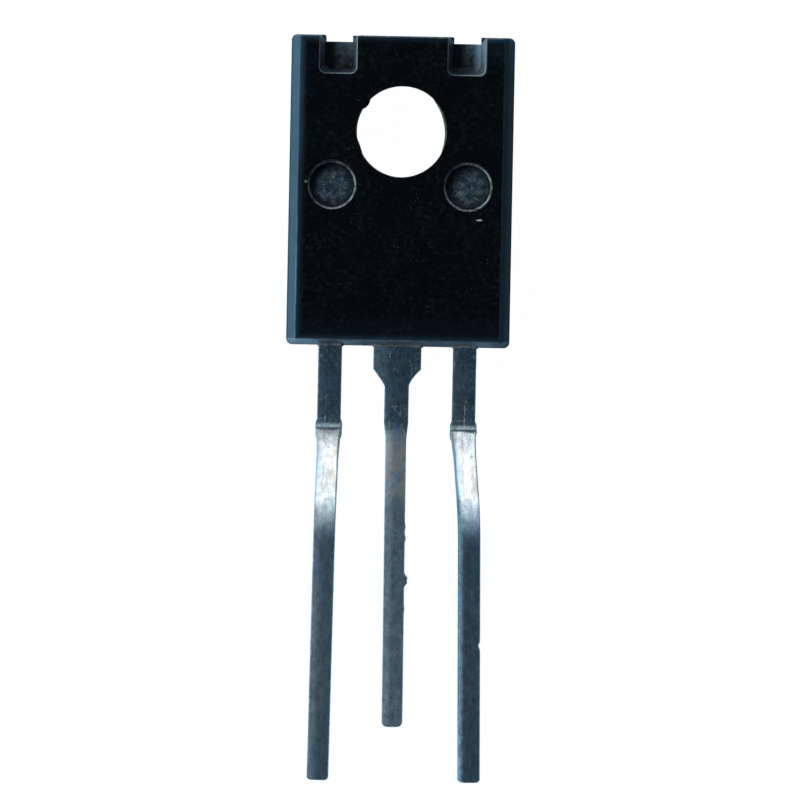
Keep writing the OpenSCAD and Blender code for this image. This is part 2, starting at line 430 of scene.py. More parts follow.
def ring_solid(name: str, rings: Sequence[Sequence[Point]]) -> bpy.types.Object:
    """Joins rings of points into a closed skin with flat ends.

    Args:
        name: The object's name.
        rings: Rings of equal length, anticlockwise seen from the last one.

    Returns:
        The object.
    """
    shape = bmesh.new()
    loops = [[shape.verts.new(p) for p in ring] for ring in rings]
    count = len(loops[0])
    for low, high in zip(loops, loops[1:]):
        for i in range(count):
            j = (i + 1) % count
            shape.faces.new((low[i], low[j], high[j], high[i]))
    shape.faces.new(list(reversed(loops[0])))
    shape.faces.new(loops[-1])
    bmesh.ops.recalc_face_normals(shape, faces=shape.faces)
    return object_from(name, shape)


def object_from(name: str, shape: bmesh.types.BMesh) -> bpy.types.Object:
    """Turns a bmesh into an object in the scene."""
    mesh = bpy.data.meshes.new(name)
    shape.to_mesh(mesh)
    shape.free()
    made = bpy.data.objects.new(name, mesh)
    bpy.context.scene.collection.objects.link(made)
    return made


def upright(outline: Iterable[Flat], z: float) -> list[Point]:
    """An outline placed at a height."""
    return [(x, y, z) for x, y in outline]


def plate(name: str, outline: Sequence[Flat], heights: Flat) -> bpy.types.Object:
    """A flat plate of an outline."""
    return ring_solid(name, [upright(outline, z) for z in heights])


def cylinder(name: str, radius: float, heights: Flat) -> bpy.types.Object:
    """A round solid about the hole's middle, between two heights."""
    return plate(name, circle((0.0, 0.0), radius, HOLE_STEPS), heights)


def bake(target: bpy.types.Object) -> bpy.types.Object:
    """Replaces an object's mesh by what its modifiers make of it, and removes them."""
    graph = bpy.context.evaluated_depsgraph_get()
    old = target.data
    new = bpy.data.meshes.new_from_object(target.evaluated_get(graph))
    target.modifiers.clear()
    target.data = new
    bpy.data.meshes.remove(old)
    return target


def join_solid(target: bpy.types.Object, tool: bpy.types.Object, how: Joining) -> None:
    """Cuts one solid from another, or adds it, and removes the tool."""
    change = target.modifiers.new(how.name, "BOOLEAN")
    change.operation = how.value
    change.solver = "EXACT"
    change.object = tool
    bake(target)
    bpy.data.objects.remove(tool)


def round_edges(
    target: bpy.types.Object, radius_of: Callable[[Vector, Vector, float], float], widest: float,
) -> None:
    """Rounds chosen edges.

    Args:
        target: The solid.
        radius_of: Gives an edge's radius from its two ends and the angle between its faces.
        widest: The largest radius in use.
    """
    shape = bmesh.new()
    shape.from_mesh(target.data)
    weight = shape.edges.layers.float.new("bevel_weight_edge")
    for edge in shape.edges:
        if len(edge.link_faces) == 2:
            a, b = (v.co for v in edge.verts)
            edge[weight] = radius_of(a, b, math.degrees(edge.calc_face_angle())) / widest
    shape.to_mesh(target.data)
    shape.free()
    bevel = target.modifiers.new("round", "BEVEL")
    bevel.limit_method = "WEIGHT"
    bevel.width = widest
    bevel.segments = 3
    bevel.use_clamp_overlap = True
    bake(target)


def store_flat(piece: bpy.types.Object) -> None:
    """Stores where a piece's points lie, as the coordinates that a strip's finish reads."""
    stored = piece.data.attributes.new(Coordinates.STRIP.value, "FLOAT_VECTOR", "POINT")
    stored.data.foreach_set("vector", [c for v in piece.data.vertices for c in v.co])


def hump(s: float, centre: float, before: float, after: float) -> float:
    """A bump from 0 to 1 and back, with a width of its own on each side."""
    width = before if s < centre else after
    return math.exp(-((s - centre) / width) ** 2)


def ramp(s: float, start: float, end: float) -> float:
    """0 up to start, 1 from end on, and even between them; start may lie above end."""
    return max(0.0, min(1.0, (s - start) / (end - start)))


def cad_copy(node: str) -> bpy.types.Object:
    """A copy of a CAD node's solid in millimetres, with its loose triangles merged."""
    shape = bmesh.new()
    shape.from_mesh(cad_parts[node].data)
    bmesh.ops.transform(shape, matrix=Matrix.Scale(1.0 / MM, 4), verts=shape.verts)
    bmesh.ops.remove_doubles(shape, verts=shape.verts, dist=1e-4)
    return object_from("copy_of_" + node, shape)


def finish_piece(
    piece: bpy.types.Object, material: bpy.types.Material | None,
    stands_for: Sequence[str] = (), sharp: float = 40.0,
) -> bpy.types.Object:
    """Smooths a piece, turns it to metres, and gives it to the frame.

    Args:
        piece: The piece, drawn in millimetres.
        material: Its finish, or None where its faces already carry theirs.
        stands_for: CAD nodes that it replaces.
        sharp: Edges that turn more than this many degrees stay sharp.

    Returns:
        The piece.
    """
    mesh = piece.data
    if material is not None:
        mesh.materials.clear()
        mesh.materials.append(material)
    mesh.polygons.foreach_set("use_smooth", [True] * len(mesh.polygons))
    mesh.set_sharp_from_angle(angle=math.radians(sharp))
    even = piece.modifiers.new("even", "WEIGHTED_NORMAL")
    even.keep_sharp = True
    bake(piece)
    piece.data.transform(Matrix.Scale(MM, 4))
    piece.data.name = piece.name
    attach(piece, "root")
    if stands_for:
        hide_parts(*stands_for)
    log.info("%s: %d faces", piece.name, len(piece.data.polygons))
    return piece


# ---- geometry node trees ------------------------------------------------


class FormingTree(Graph):
    """A Geometry Nodes tree with named inputs that shapes a blank."""

    def __init__(self, name: str, inputs: dict[str, str]) -> None:
        """Makes the tree and its group sockets.

        Args:
            name: The tree's name.
            inputs: Socket types by input name, beside the geometry.
        """
        super().__init__(bpy.data.node_groups.new(name, "GeometryNodeTree"))
        sockets = self.tree.interface
        sockets.new_socket("Geometry", in_out="OUTPUT", socket_type="NodeSocketGeometry")
        sockets.new_socket("Geometry", in_out="INPUT", socket_type="NodeSocketGeometry")
        self.keys: dict[str, str] = {
            label: sockets.new_socket(label, in_out="INPUT", socket_type=kind).identifier
            for label, kind in inputs.items()}
        self.given = self.node("NodeGroupInput")

    def input(self, label: str) -> Value:
        """A named number of the group."""
        return Value(self, self.given.outputs[label])

    def close(self, geometry: bpy.types.NodeSocket) -> None:
        """Ends the tree: smooth shading, realized instances, and the finish."""
        smooth = self.node("GeometryNodeSetShadeSmooth", {}, {"Geometry": geometry})
        real = self.node("GeometryNodeRealizeInstances", {}, {"Geometry": smooth.outputs[0]})
        dressed = self.node("GeometryNodeSetMaterial", {}, {
            "Geometry": real.outputs[0], "Material": self.given.outputs["Finish"]})
        self.node("NodeGroupOutput", {}, {"Geometry": dressed.outputs[0]})

    def shape(self, blank: bpy.types.Object, values: dict[str, Any]) -> bpy.types.Object:
        """Runs the tree on a blank and keeps the result as a plain mesh.

        Args:
            blank: The mesh to shape.
            values: The inputs by name.

        Returns:
            The same object with its new mesh.
        """
        forming = blank.modifiers.new(self.tree.name, "NODES")
        forming.node_group = self.tree
        for label, given in values.items():
            forming[self.keys[label]] = given
        return bake(blank)


class StripBend(FormingTree):
    """Bends a straight blank along a guide of straights and true bends, then twists and splays it."""

    def __init__(self) -> None:
        """Builds the tree."""
        numbers = ["Root", "Crease", "Angle", "Upper radius", "Slope", "Lower radius", "End",
                   "Body end", "Height", "Offset", "Twist", "Splay"]
        super().__init__("bend_strip", {**{n: "NodeSocketFloat" for n in numbers},
                                        "Finish": "NodeSocketMaterial"})
        across, along, through = self.parts(self.node("GeometryNodeInputPosition").outputs[0])
        length = -along
        guide = self._guide()
        sample = self.node("GeometryNodeSampleCurve", {"mode": "LENGTH"}, {
            "Curves": guide, "Length": length - self.input("Root")})
        sideways = (1.0, 0.0, 0.0)
        front = self.vector("CROSS_PRODUCT", sample.outputs["Tangent"], sideways)
        lifted = self.vector("ADD", sample.outputs["Position"], self.vector("SCALE", front, through))
        bent = self.vector("ADD", lifted, self.together(across, 0.0, 0.0))
        crease_y = self.input("Body end") - self.input("Crease")
        centre = self.together(0.0, crease_y, self.input("Height"))
        amount = (length - self.input("Crease")).rise(-0.04, 0.16)
        for axis, label in (((0.0, 1.0, 0.0), "Twist"), ((0.0, 0.0, 1.0), "Splay")):
            bent = self.node("ShaderNodeVectorRotate", {"rotation_type": "AXIS_ANGLE"}, {
                "Vector": bent, "Center": centre, "Axis": axis,
                "Angle": self.input(label) * amount}).outputs[0]
        placed = self.vector("ADD", bent, self.together(self.input("Offset"), 0.0, 0.0))
        moved = self.node("GeometryNodeSetPosition", {}, {
            "Geometry": self.given.outputs["Geometry"], "Position": placed})
        self.close(moved.outputs[0])

    def _guide(self) -> bpy.types.NodeSocket:
        """The strip's middle line, as corners that are then rounded to the two bend radii."""
        angle, height = self.input("Angle"), self.input("Height")
        upper, lower = self.input("Upper radius"), self.input("Lower radius")
        half_tangent = (angle * 0.5).math("TANGENT", angle * 0.5)
        up_run, low_run = upper * half_tangent, lower * half_tangent
        slope = up_run + self.input("Slope") + low_run
        corner_y = self.input("Body end") - self.input("Crease") - up_run
        foot_y = corner_y - slope * angle.math("COSINE", angle)
        foot_z = height + slope * angle.math("SINE", angle)
        corners = [
            self.together(0.0, self.input("Body end") - self.input("Root"), height),
            self.together(0.0, corner_y, height),
            self.together(0.0, foot_y, foot_z),
            self.together(0.0, foot_y - low_run - self.input("End"), foot_z)]
        index = self.node("GeometryNodeInputIndex").outputs[0]
        chosen = self.node("GeometryNodeIndexSwitch", {"data_type": "VECTOR", "items": 4},
                           {0: index, **{i + 1: c for i, c in enumerate(corners)}})
        line = self.node("GeometryNodeMeshLine", {}, {"Count": 4})
        placed = self.node("GeometryNodeSetPosition", {}, {
            "Geometry": line.outputs[0], "Position": chosen.outputs[0]})
        curve = self.node("GeometryNodeMeshToCurve", {}, {"Mesh": placed.outputs[0]})
        radii = self.node("GeometryNodeIndexSwitch", {"data_type": "FLOAT", "items": 4},
                          {0: index, 1: 0.0, 2: upper, 3: lower, 4: 0.0})
        return self.node("GeometryNodeFilletCurve", {"mode": "POLY"}, {
            "Curve": curve.outputs[0], "Count": 40, "Radius": radii.outputs[0]}).outputs[0]


class Bead(FormingTree):
    """Runs a thin uneven bead of flash along guide lines."""

    def __init__(self) -> None:
        """Builds the tree."""
        super().__init__("run_bead", {
            "Radius": "NodeSocketFloat", "Unevenness": "NodeSocketFloat", "Sides": "NodeSocketInt",
            "Seed": "NodeSocketFloat", "Finish": "NodeSocketMaterial"})
        curve = self.node("GeometryNodeMeshToCurve", {}, {"Mesh": self.given.outputs["Geometry"]})
        place = self.node("GeometryNodeInputPosition").outputs[0]
        wander = self.value("ShaderNodeTexNoise", {"noise_dimensions": "4D"}, {
            "Vector": place, "W": self.input("Seed"), "Scale": 2.6, "Detail": 4.0})
        sized = self.node("GeometryNodeSetCurveRadius", {}, {
            "Curve": curve.outputs[0], "Radius": 1.0 - self.input("Unevenness") * wander})
        profile = self.node("GeometryNodeCurvePrimitiveCircle", {}, {
            "Resolution": self.input("Sides"), "Radius": self.input("Radius")})
        swept = self.node("GeometryNodeCurveToMesh", {}, {
            "Curve": sized.outputs[0], "Profile Curve": profile.outputs[0], "Fill Caps": True})
        self.close(swept.outputs[0])


# ---- finishes -----------------------------------------------------------


class CaseSurface(Surface):
    """A surface that knows where on the moulded case a point lies, with its patterns of rubbing, dust and
    painted light and shade.

    Places are millimetres from the hole's middle on the back face: X to the right, Y to the hole end
    and Z to the front.
    """

    def __init__(self, name: str, size: Package) -> None:
        """Makes the coordinates that the patterns share.

        Args:
            name: The material's name.
            size: The package's sizes.
        """
        super().__init__(name)
        self.size = size
        self.half = size.half_width(size.thickness)
        self.low, self.high = size.ends(size.thickness)
        self.notch_end = size.top - size.notch_length
        self.x, self.y, self.z = self.parts(self.place)
        side = self.x.math("SIGN", self.x)
        self.notch_across = self.x - side * size.notch_x
        self.notch_away = self._outside_notch()
        self.mark_across, self.mark_along = self.x - side * size.mark_x, self.y - size.mark_y
        self.mark_away = (self.mark_across ** 2.0 + self.mark_along ** 2.0) ** 0.5
        self.patchy = self.noise(self.place, 3.3, 4.0, 0.65).rise(0.30, 0.62)

    def _outside_notch(self) -> Value:
        """Distance outside the walls of the nearer clamp notch, less than 0 within it."""
        corner = self.size.notch_corner
        across, along = abs(self.notch_across) - self.size.notch_width / 2, self.notch_end - self.y
        return ((across + corner).most(0.0) ** 2.0 + (along + corner).most(0.0) ** 2.0) ** 0.5 - corner

    def near_front(self, start: float, end: float) -> Value:
        """0 deeper than start below the front face, and 1 above end below it."""
        return self.z.rise(self.size.thickness - start, self.size.thickness - end)

    def oval(self, centre: Flat, halves: Flat, wobble: Value | float = 0.0) -> Value:
        """Squared distance from the middle of an oval, 1 on its outline."""
        across, along = self.x - centre[0] + wobble, self.y - centre[1] + wobble * 0.6
        return (across / halves[0]) ** 2.0 + (along / halves[1]) ** 2.0

    def painted_sheen(self) -> Value:
        """A painted sheen that fades inwards from the front's left, lower and upper edges."""
        uneven = self.noise(self.stretched(self.place, (2.0, 0.7, 1.0)), 1.3, 3.0) * 0.7 + 0.6
        left = (self.x + self.half).rise(0.38, 0.0) ** 2.2
        left = left * (self.y.rise(-1.5, 0.0) * 0.45 + 0.55)
        bottom = (self.y - self.low).rise(0.34, 0.0) ** 2.0 * 0.55
        top = (self.high - self.y).rise(0.36, 0.0) ** 2.0 * (abs(self.x).rise(2.4, 3.0) * 0.45 + 0.35)
        return (left.most(bottom).most(top) * uneven).least(1.0)

    def notch_painted_glow(self, clouds: Value) -> Value:
        """A painted glow between the right-hand notch and the case's edge."""
        close = self.notch_away.rise(0.13, 0.0) * self.x.rise(2.75, 2.85) * self.y.rise(1.9, 2.6) * 0.45
        return close.most(self.x.rise(2.80, 3.0) * self.y.rise(1.9, 3.0) * (clouds * 0.5 + 0.10))

    def edge_wear_and_highlight(self) -> Value:
        """Pale rubbed lines with a painted highlight along the long front edges and the ends, most on the
        left.
        """
        side = (abs(self.x) - self.half).rise(-0.05, 0.0)
        end = (self.y - self.high).rise(-0.06, -0.01) * 0.8
        end = end.most((self.y - self.low).rise(0.06, 0.01) * (self.x.rise(-2.4, -3.2) * 0.6 + 0.4))
        rubbed = self.noise(self.stretched(self.place, (3.0, 0.9, 3.0)), 1.6, 4.0, 0.6).rise(0.34, 0.62)
        left = self.x.rise(0.5, -0.5)
        side = side * (left * (self.y.rise(-1.5, -4.6) * 0.45 + 0.15)).most(0.10)
        amount = ((rubbed * 0.8 + 0.35) * (self.y.rise(-3.0, -6.0) * 0.35 + 0.85)).least(1.0)
        return side.most(end) * self.near_front(0.16, 0.03) * amount

    def notch_wall_light(self) -> Value:
        """Painted light on the notch walls: most on the right-hand wall, facing the light, and towards the
        mouth.
        """
        inside = self.notch_away.rise(0.02, -0.01)
        inside = inside * self.z.rise(self.size.plate_front, self.size.plate_front + 0.1)
        upper = self.y.rise(self.notch_end - 0.05, self.size.top - 0.15)
        right = (self.patchy * 0.35 + 0.45) * self.notch_across.rise(-0.2, 0.5)
        right = right * (self.x.rise(-0.5, 0.5) * (upper * 0.8 + 0.3) + 0.45)
        left = self.x.rise(-2.2, -2.5) * (upper * 0.22 + 0.13) * (self.patchy * 0.6 + 0.5)
        # A painted highlight along the right-hand notch's lip.
        lip = self.notch_away.band(0.02, 0.02, 0.03) * self.near_front(0.10, 0.04)
        lip = lip * self.x.rise(2.6, 2.7) * (upper * 0.6 + 0.3)
        return (inside * right.most(left).most(0.08)).most(lip)

    def rims(self) -> Value:
        """Pale rims of marks, notches and hole, painted lighter on their lit sides, and one chip at the left
        edge.
        """
        # Painted light: mark rims lighter at the right and bottom, notch lips and the hole's edge at the
        # right.
        lit_side = (self.mark_across - self.mark_along + self.x * 0.12).rise(-1.1, 0.9) * 0.6 + 0.4
        uneven = self.noise(self.place, 3.6, 5.0, 0.8).rise(0.38, 0.62) * 1.05 + 0.15
        ring = self.mark_away.band(self.size.mark / 2 - 0.015, 0.020, 0.03)
        ring = ring * self.near_front(0.20, 0.10) * uneven * lit_side
        lit_lip_side = self.notch_across.rise(-0.55, 0.45) * 0.7 + 0.3
        lip = self.notch_away.band(0.0, 0.016, 0.02) * self.near_front(0.10, 0.04)
        lip = lip * (self.patchy * 0.7 + 0.3) * lit_lip_side
        bore = self.size.hole / 2
        lit_crescent = ((self.x * self.x + self.y * self.y) ** 0.5).rise(bore + 0.01, bore - 0.01)
        lit_crescent = lit_crescent * self.x.rise(0.7, 1.2) * (self.patchy * 0.35 + 0.12)
        chip = self.oval((-3.20, -1.75), (0.06, 0.05)).rise(1.2, 0.4) * self.near_front(0.10, 0.04) * 0.4
        return ring.most(lip).most(lit_crescent).most(chip).least(1.0)

    def mark_dust_and_shade(self) -> Value:
        """Dust on the floor of an ejector mark, less at its upper left as painted shade."""
        floor, radius = self.size.thickness - self.size.mark_depth, self.size.mark / 2
        deep = self.z.rise(floor + 0.06, floor + 0.02)
        # Painted shade: the floor is darker towards its upper left.
        shade = (self.mark_across - self.mark_along).rise(-0.85, -0.25) * 0.9 + 0.1
        shade = shade * self.mark_away.rise(0.85, 0.35)
        return self.mark_away.rise(radius, radius - 0.12) * deep * self.z.rise(1.6, 1.7) * shade

    def fleck(self) -> Value:
        """One small chipped fleck right of the middle."""
        wobble = (self.noise(self.place, 9.0, 3.0) - 0.5) * 0.09
        return self.oval((2.71, -2.96), (0.10, 0.032), wobble).rise(1.3, 0.5) * 0.85


@dataclass(frozen=True)
class EpoxyFinish:
    """Black moulding compound: smooth front, duller sides, pale rubbed edges, dust in the recesses, painted
    light and shade.

    Attributes:
        black: Colour of the front face.
        green_cloud: Colour of its greenish clouds.
        brown_cloud: Colour of its brownish clouds.
        lower_painted_sheen: Colour of a painted bluish sheen on the front face near the leads.
        side_black: Colour of the sides.
        left_painted_reflection: Colour of a painted blue reflection on the left side.
        right_painted_reflection: Colour of a painted reflection on the right side's lower part.
        end_painted_reflection: Colour of a painted pale reflection on the lead end.
        painted_sheen: Colour of the painted sheen inside the front edges.
        worn_and_lit: Colour of rubbed edges with a painted highlight, and of painted light on the notch
            walls.
        rim: Colour of the rims of marks, notches and hole, and of painted light on their lit sides.
        dust: Colour of dust in the marks.
        damp: Colour of the same dust in patches.
        fleck: Colour of flecks and specks.
        gloss_rough: Roughness of the front face.
        side_rough: Roughness of the sides.
        right_rough: Roughness of the right side.
        specular: Specular level.
    """

    black: Colour = (0.0006, 0.0006, 0.0005)
    green_cloud: Colour = (0.0040, 0.0072, 0.0064)
    brown_cloud: Colour = (0.0078, 0.0064, 0.0058)
    lower_painted_sheen: Colour = (0.0010, 0.0026, 0.0036)
    side_black: Colour = (0.0016, 0.0030, 0.0044)
    left_painted_reflection: Colour = (0.0080, 0.0200, 0.0330)
    right_painted_reflection: Colour = (0.0110, 0.0190, 0.0240)
    end_painted_reflection: Colour = (0.1400, 0.1500, 0.1600)
    painted_sheen: Colour = (0.0190, 0.0380, 0.0560)
    worn_and_lit: Colour = (0.150, 0.195, 0.235)
    rim: Colour = (0.205, 0.235, 0.225)
    dust: Colour = (0.090, 0.105, 0.098)
    damp: Colour = (0.055, 0.095, 0.130)
    fleck: Colour = (0.34, 0.38, 0.40)
    gloss_rough: float = 0.30
    side_rough: float = 0.36
    right_rough: float = 0.75
    specular: float = 0.26

    def build(self, size: Package) -> bpy.types.Material:
        """Makes the material for a package of the given sizes."""
        s = CaseSurface("black_epoxy", size)
        on_front = s.near_front(0.03, 0.005)
        where = s.noise(s.place, 0.9, 2.0).rise(0.38, 0.60)
        greens = s.noise(s.place, 5.5, 5.0, 0.75).rise(0.48, 0.68) * where
        browns = s.noise(s.vector("ADD", s.place, (7.0, 3.0, 0.0)), 7.0, 5.0, 0.75).rise(0.52, 0.70)
        # Painted sheen inside the front edges, and a painted glow beside the right-hand notch.
        painted_sheen = s.painted_sheen().most(s.notch_painted_glow(greens)) * s.near_front(0.10, 0.02)
        # Rubbed front edges with a painted highlight, strongest on the left and lower edges.
        wear_and_highlight = s.edge_wear_and_highlight()
        floor_dust_and_shade = s.mark_dust_and_shade()
        shaded_dust = floor_dust_and_shade * s.noise(s.place, 5.0, 6.0, 0.85).rise(0.44, 0.60)
        pin = s.value("ShaderNodeTexVoronoi", {}, {"Vector": s.place, "Scale": 6.5})
        specks = pin.rise(0.17, 0.06) * s.noise(s.place, 1.7, 3.0).rise(0.50, 0.64) * on_front
        grains = pin.rise(0.20, 0.08) * floor_dust_and_shade
        fleck = s.fleck() * on_front
        colour = s.layers(
            self._clean(s, on_front),
            (greens, self.green_cloud),
            (browns, self.brown_cloud),
            (painted_sheen, self.painted_sheen),
            # Dust in the marks, with painted shade at their upper left.
            (floor_dust_and_shade * 0.16 + shaded_dust * 0.84, s.blend(s.patchy, self.dust, self.damp)),
            # Rubbed edges with a painted highlight, and painted light on the notch walls.
            (wear_and_highlight.most(s.notch_wall_light()), self.worn_and_lit),
            (s.rims(), self.rim),
            ((specks * 0.10).most(fleck).most(grains * 0.35), self.fleck))
        fine, broad = s.noise(s.place, 26.0, 4.0, 0.6), s.noise(s.place, 1.3, 3.0)
        rough = self._plain_rough(s, on_front) + (broad - 0.5) * 0.10 + wear_and_highlight * 0.10 + floor_dust_and_shade * 0.2
        relief = broad * 0.006 + fine * 0.0006 + shaded_dust * 0.012 + fleck * 0.01
        relief = relief + (1.0 - on_front) * fine * 0.004
        return s.finish(colour, rough, 0.0, relief, Specular_IOR_Level=self.specular)

    def _clean(self, s: CaseSurface, on_front: Value) -> bpy.types.NodeSocket:
        """Colour without clouds, dust or rubbing: black in front, with painted reflections on the sides and
        the ends.
        """
        return s.layers(
            self.side_black,
            # Painted reflections: blue on the left side, bluish on the right side's lower part, pale and
            # patchy on the lead end.
            (s.x.rise(-3.0, -3.4), self.left_painted_reflection),
            (s.x.rise(3.4, 3.5) * s.z.rise(2.2, 1.4), self.right_painted_reflection),
            (s.y.rise(-7.05, -7.11) * (0.4 + s.patchy * 0.9), self.end_painted_reflection),
            (on_front, self.black),
            # Painted bluish sheen on the front near the leads.
            (s.y.rise(-6.0, -6.8) * on_front, self.lower_painted_sheen))

    def _plain_rough(self, s: CaseSurface, on_front: Value) -> Value:
        """Roughness without dust or wear: lowest in front, highest on the right side's upper part."""
        more = self.right_rough - self.side_rough + s.z.rise(1.7, 2.5) * 0.25
        side = s.x.rise(3.1, 3.4) * more + self.side_rough
        return on_front * (self.gloss_rough - side) + side


class TinSurface(Surface):
    """A strip's surface with the patterns that its plating shows."""

    def __init__(self, name: str, coordinates: Coordinates, phase: float) -> None:
        """Makes the patterns that colour, roughness and relief share.

        Args:
            name: The material's name.
            coordinates: Where the patterns are read.
            phase: Shifts the patterns, so that no two leads look alike.
        """
        super().__init__(name, coordinates)
        self.x, self.y, self.z = self.parts(self.grain)
        self.shifted = self.vector("ADD", self.grain, (phase, 0.0, phase))
        self.drawn = self.streaks(0.06, 9.0, 3.0, 0.6)
        self.mottle = self.streaks(0.75, 5.0, 4.0, 0.65)
        self.tint = self.streaks(0.22, 3.2, 3.0, 0.55)
        self.worked = self.y.rise(-1.7, -0.4).most(self.y.band(-2.3, 0.4, 0.4))
        self.specks = (self.noise(self.shifted, 8.0, 2.0, 0.55) + self.worked * 0.05).rise(0.62, 0.72)
        scored = self.streaks(0.22, 6.0, 2.0, across=2.4, turn=0.35).rise(0.68, 0.75)
        self.marks = scored * (self.worked * 0.8 + 0.2)

    def streaks(
        self, along: float, scale: float, detail: float, rough: float = 0.5,
        across: float = 1.0, turn: float = 0.0,
    ) -> Value:
        """Noise drawn out along the strip; the smaller the number along it, the longer the streaks."""
        return self.noise(self.stretched(self.shifted, (across, along, 1.0), turn), scale, detail, rough)


@dataclass(frozen=True)
class TinFinish:
    """Tin plating on copper strip: wavy, mottled and drawn lengthwise, with specks and bright scratches.

    Places along a strip are its flat Y, which falls from 0 at the body's lead end to the tip.

    Attributes:
        name: The material's name.
        coordinates: Where the patterns are read.
        bright: Colour of the metal at its brightest.
        dull: Colour of its mottles and drawn lines.
        green: A greenish tint.
        warm: A warm tint in streaks.
        tarnish: A blue tint in streaks.
        rust: Tint of an aged slope.
        dusk: Colour of the worked stretch at the body and of the streaks on the slope.
        painted_edge_reflection: Colour of a painted blue reflection along the slope's left edge.
        stain: Colour of specks and blots.
        scratch: Colour of scratches.
        rough: Roughness.
        specular: Specular level.
        lines: Strength of the drawn lines.
        crown: How much the face falls away towards its edges.
        aged: 0 for a fresh lead and 1 for a dull one.
        ease: How much the face leans just below the bend.
        bend: Place of the bend forward.
        slope_middle: Place of the slope's middle.
        slope_half: Half the slope's length.
        phase: Shifts the patterns, so that no two leads look alike.
    """

    name: str
    coordinates: Coordinates = Coordinates.STRIP
    bright: Colour = (0.72, 0.74, 0.73)
    dull: Colour = (0.36, 0.39, 0.41)
    green: Colour = (0.44, 0.54, 0.50)
    warm: Colour = (0.54, 0.51, 0.48)
    tarnish: Colour = (0.36, 0.46, 0.62)
    rust: Colour = (0.62, 0.46, 0.36)
    dusk: Colour = (0.33, 0.32, 0.30)
    painted_edge_reflection: Colour = (0.36, 0.52, 0.64)
    stain: Colour = (0.10, 0.125, 0.15)
    scratch: Colour = (0.86, 0.89, 0.90)
    rough: float = 0.25
    specular: float = 0.2
    lines: float = 1.0
    crown: float = 0.17
    aged: float = 0.0
    ease: float = 0.0
    bend: float = -2.80
    slope_middle: float = -4.35
    slope_half: float = 1.25
    phase: float = 0.0

    def build(self) -> bpy.types.Material:
        """Makes the material."""
        s = TinSurface(self.name, self.coordinates, self.phase)
        slope = s.y.band(self.slope_middle, self.slope_half, 0.3) * (1.0 - self.aged * 0.8)
        rust = s.y.band(-4.1, 0.7, 0.9) * s.streaks(0.5, 3.0, 4.0, 0.65).rise(0.42, 0.60) * self.aged
        aged = s.y.rise(-2.5, -3.2) * self.aged * (s.x.rise(-0.02, -0.26) * 1.3 + 0.7)
        rough = (s.mottle - 0.5) * 0.16 + self.rough + (s.drawn - 0.5) * 0.10 * self.lines
        rough = rough + s.specks * 0.15 + s.marks * 0.22 + aged * 0.10
        cover = self.cover(s)
        colour = s.layers(self._colour(s, slope, rust), *cover)
        metal = self._metal(s, slope, rust, aged)
        for seen, _ in cover:
            rough, metal = rough + seen * 0.25, 1.0 - seen
        return s.finish(colour, rough, metal, self._relief(s), Specular_IOR_Level=self.specular)

    def cover(self, s: TinSurface) -> list[tuple[Value, bpy.types.NodeSocket]]:
        """Layers on the plating: where each lies, and its colour. Plain tin has none."""
        return []

    def _colour(self, s: TinSurface, slope: Value, rust: Value) -> bpy.types.NodeSocket:
        """Bright and dull metal, then tints, streaks, stains, scratches and a painted reflection over it."""
        dulled = s.mottle.rise(0.40, 0.60) * (0.6 - slope * 0.4) + s.drawn * 0.5 * self.lines
        streak = s.streaks(0.13, 6.0, 3.0, 0.6)
        blue = s.streaks(0.25, 3.6, 4.0, 0.6, turn=0.15)
        blots = s.streaks(0.4, 6.0, 4.0, 0.75).rise(0.46, 0.60)
        return s.layers(
            self.bright,
            (dulled.least(1.0), self.dull),
            (s.worked * 0.35, self.dusk),
            (s.tint.rise(0.47, 0.64) * 0.6, self.green),
            (blue.rise(0.53, 0.66) * (s.worked * 0.3 + 0.6), self.tarnish),
            (streak.rise(0.56, 0.70) * 0.55, self.warm),
            (slope * streak.rise(0.47, 0.57) * 0.85, self.dusk),
            # Painted blue reflection along the slope's left edge.
            (slope * s.x.rise(-0.10, -0.28) * s.y.rise(-3.0, -4.4) * 0.7, self.painted_edge_reflection),
            (rust * 0.7, self.rust),
            (blots * (s.worked * 0.16 + 0.30) * (1.0 - slope * 0.7), self.stain),
            (s.specks * 0.6, self.stain),
            (s.marks * 0.7, self.scratch))

    def _metal(self, s: TinSurface, slope: Value, rust: Value, aged: Value) -> Value:
        """Metallic share: less where the plating is scored, worked, dotted, rusty, aged or pale."""
        dots = s.noise(s.shifted, 7.0, 4.0, 0.7).rise(0.54, 0.70)
        pale = slope * abs(s.x).rise(0.26, 0.36)
        pale = pale.most(s.y.band(self.bend, 0.10, 0.10) * (1.0 - self.aged) * 0.55)
        metal = 0.995 - s.marks * 0.14 - aged * (s.mottle * 0.13 + 0.10) - s.worked * s.tint * 0.04
        metal = metal - self.aged * s.y.rise(-8.6, -9.6) * s.y.rise(-13.6, -12.4) * 0.035 - rust * 0.05
        return metal - s.worked * dots * 0.20 - dots * 0.02 - pale * 0.5

    def _relief(self, s: TinSurface) -> Value:
        """Waves, grain and scratches, with edges that fall away by the crown."""
        wave, fine = s.streaks(0.6, 1.5, 2.0), s.noise(s.shifted, 17.0, 3.0, 0.6)
        relief = wave * 0.020 + s.mottle * 0.0055 + s.drawn * 0.0014 * self.lines + fine * 0.0008
        relief = relief - s.specks * 0.0012 + s.marks * 0.0025 - s.x * s.x * self.crown
        if self.ease:
            below = (s.y - self.bend + 0.05).least(0.0) * 3.3
            relief = relief + below.math("EXPONENT", below) * self.ease
        return relief


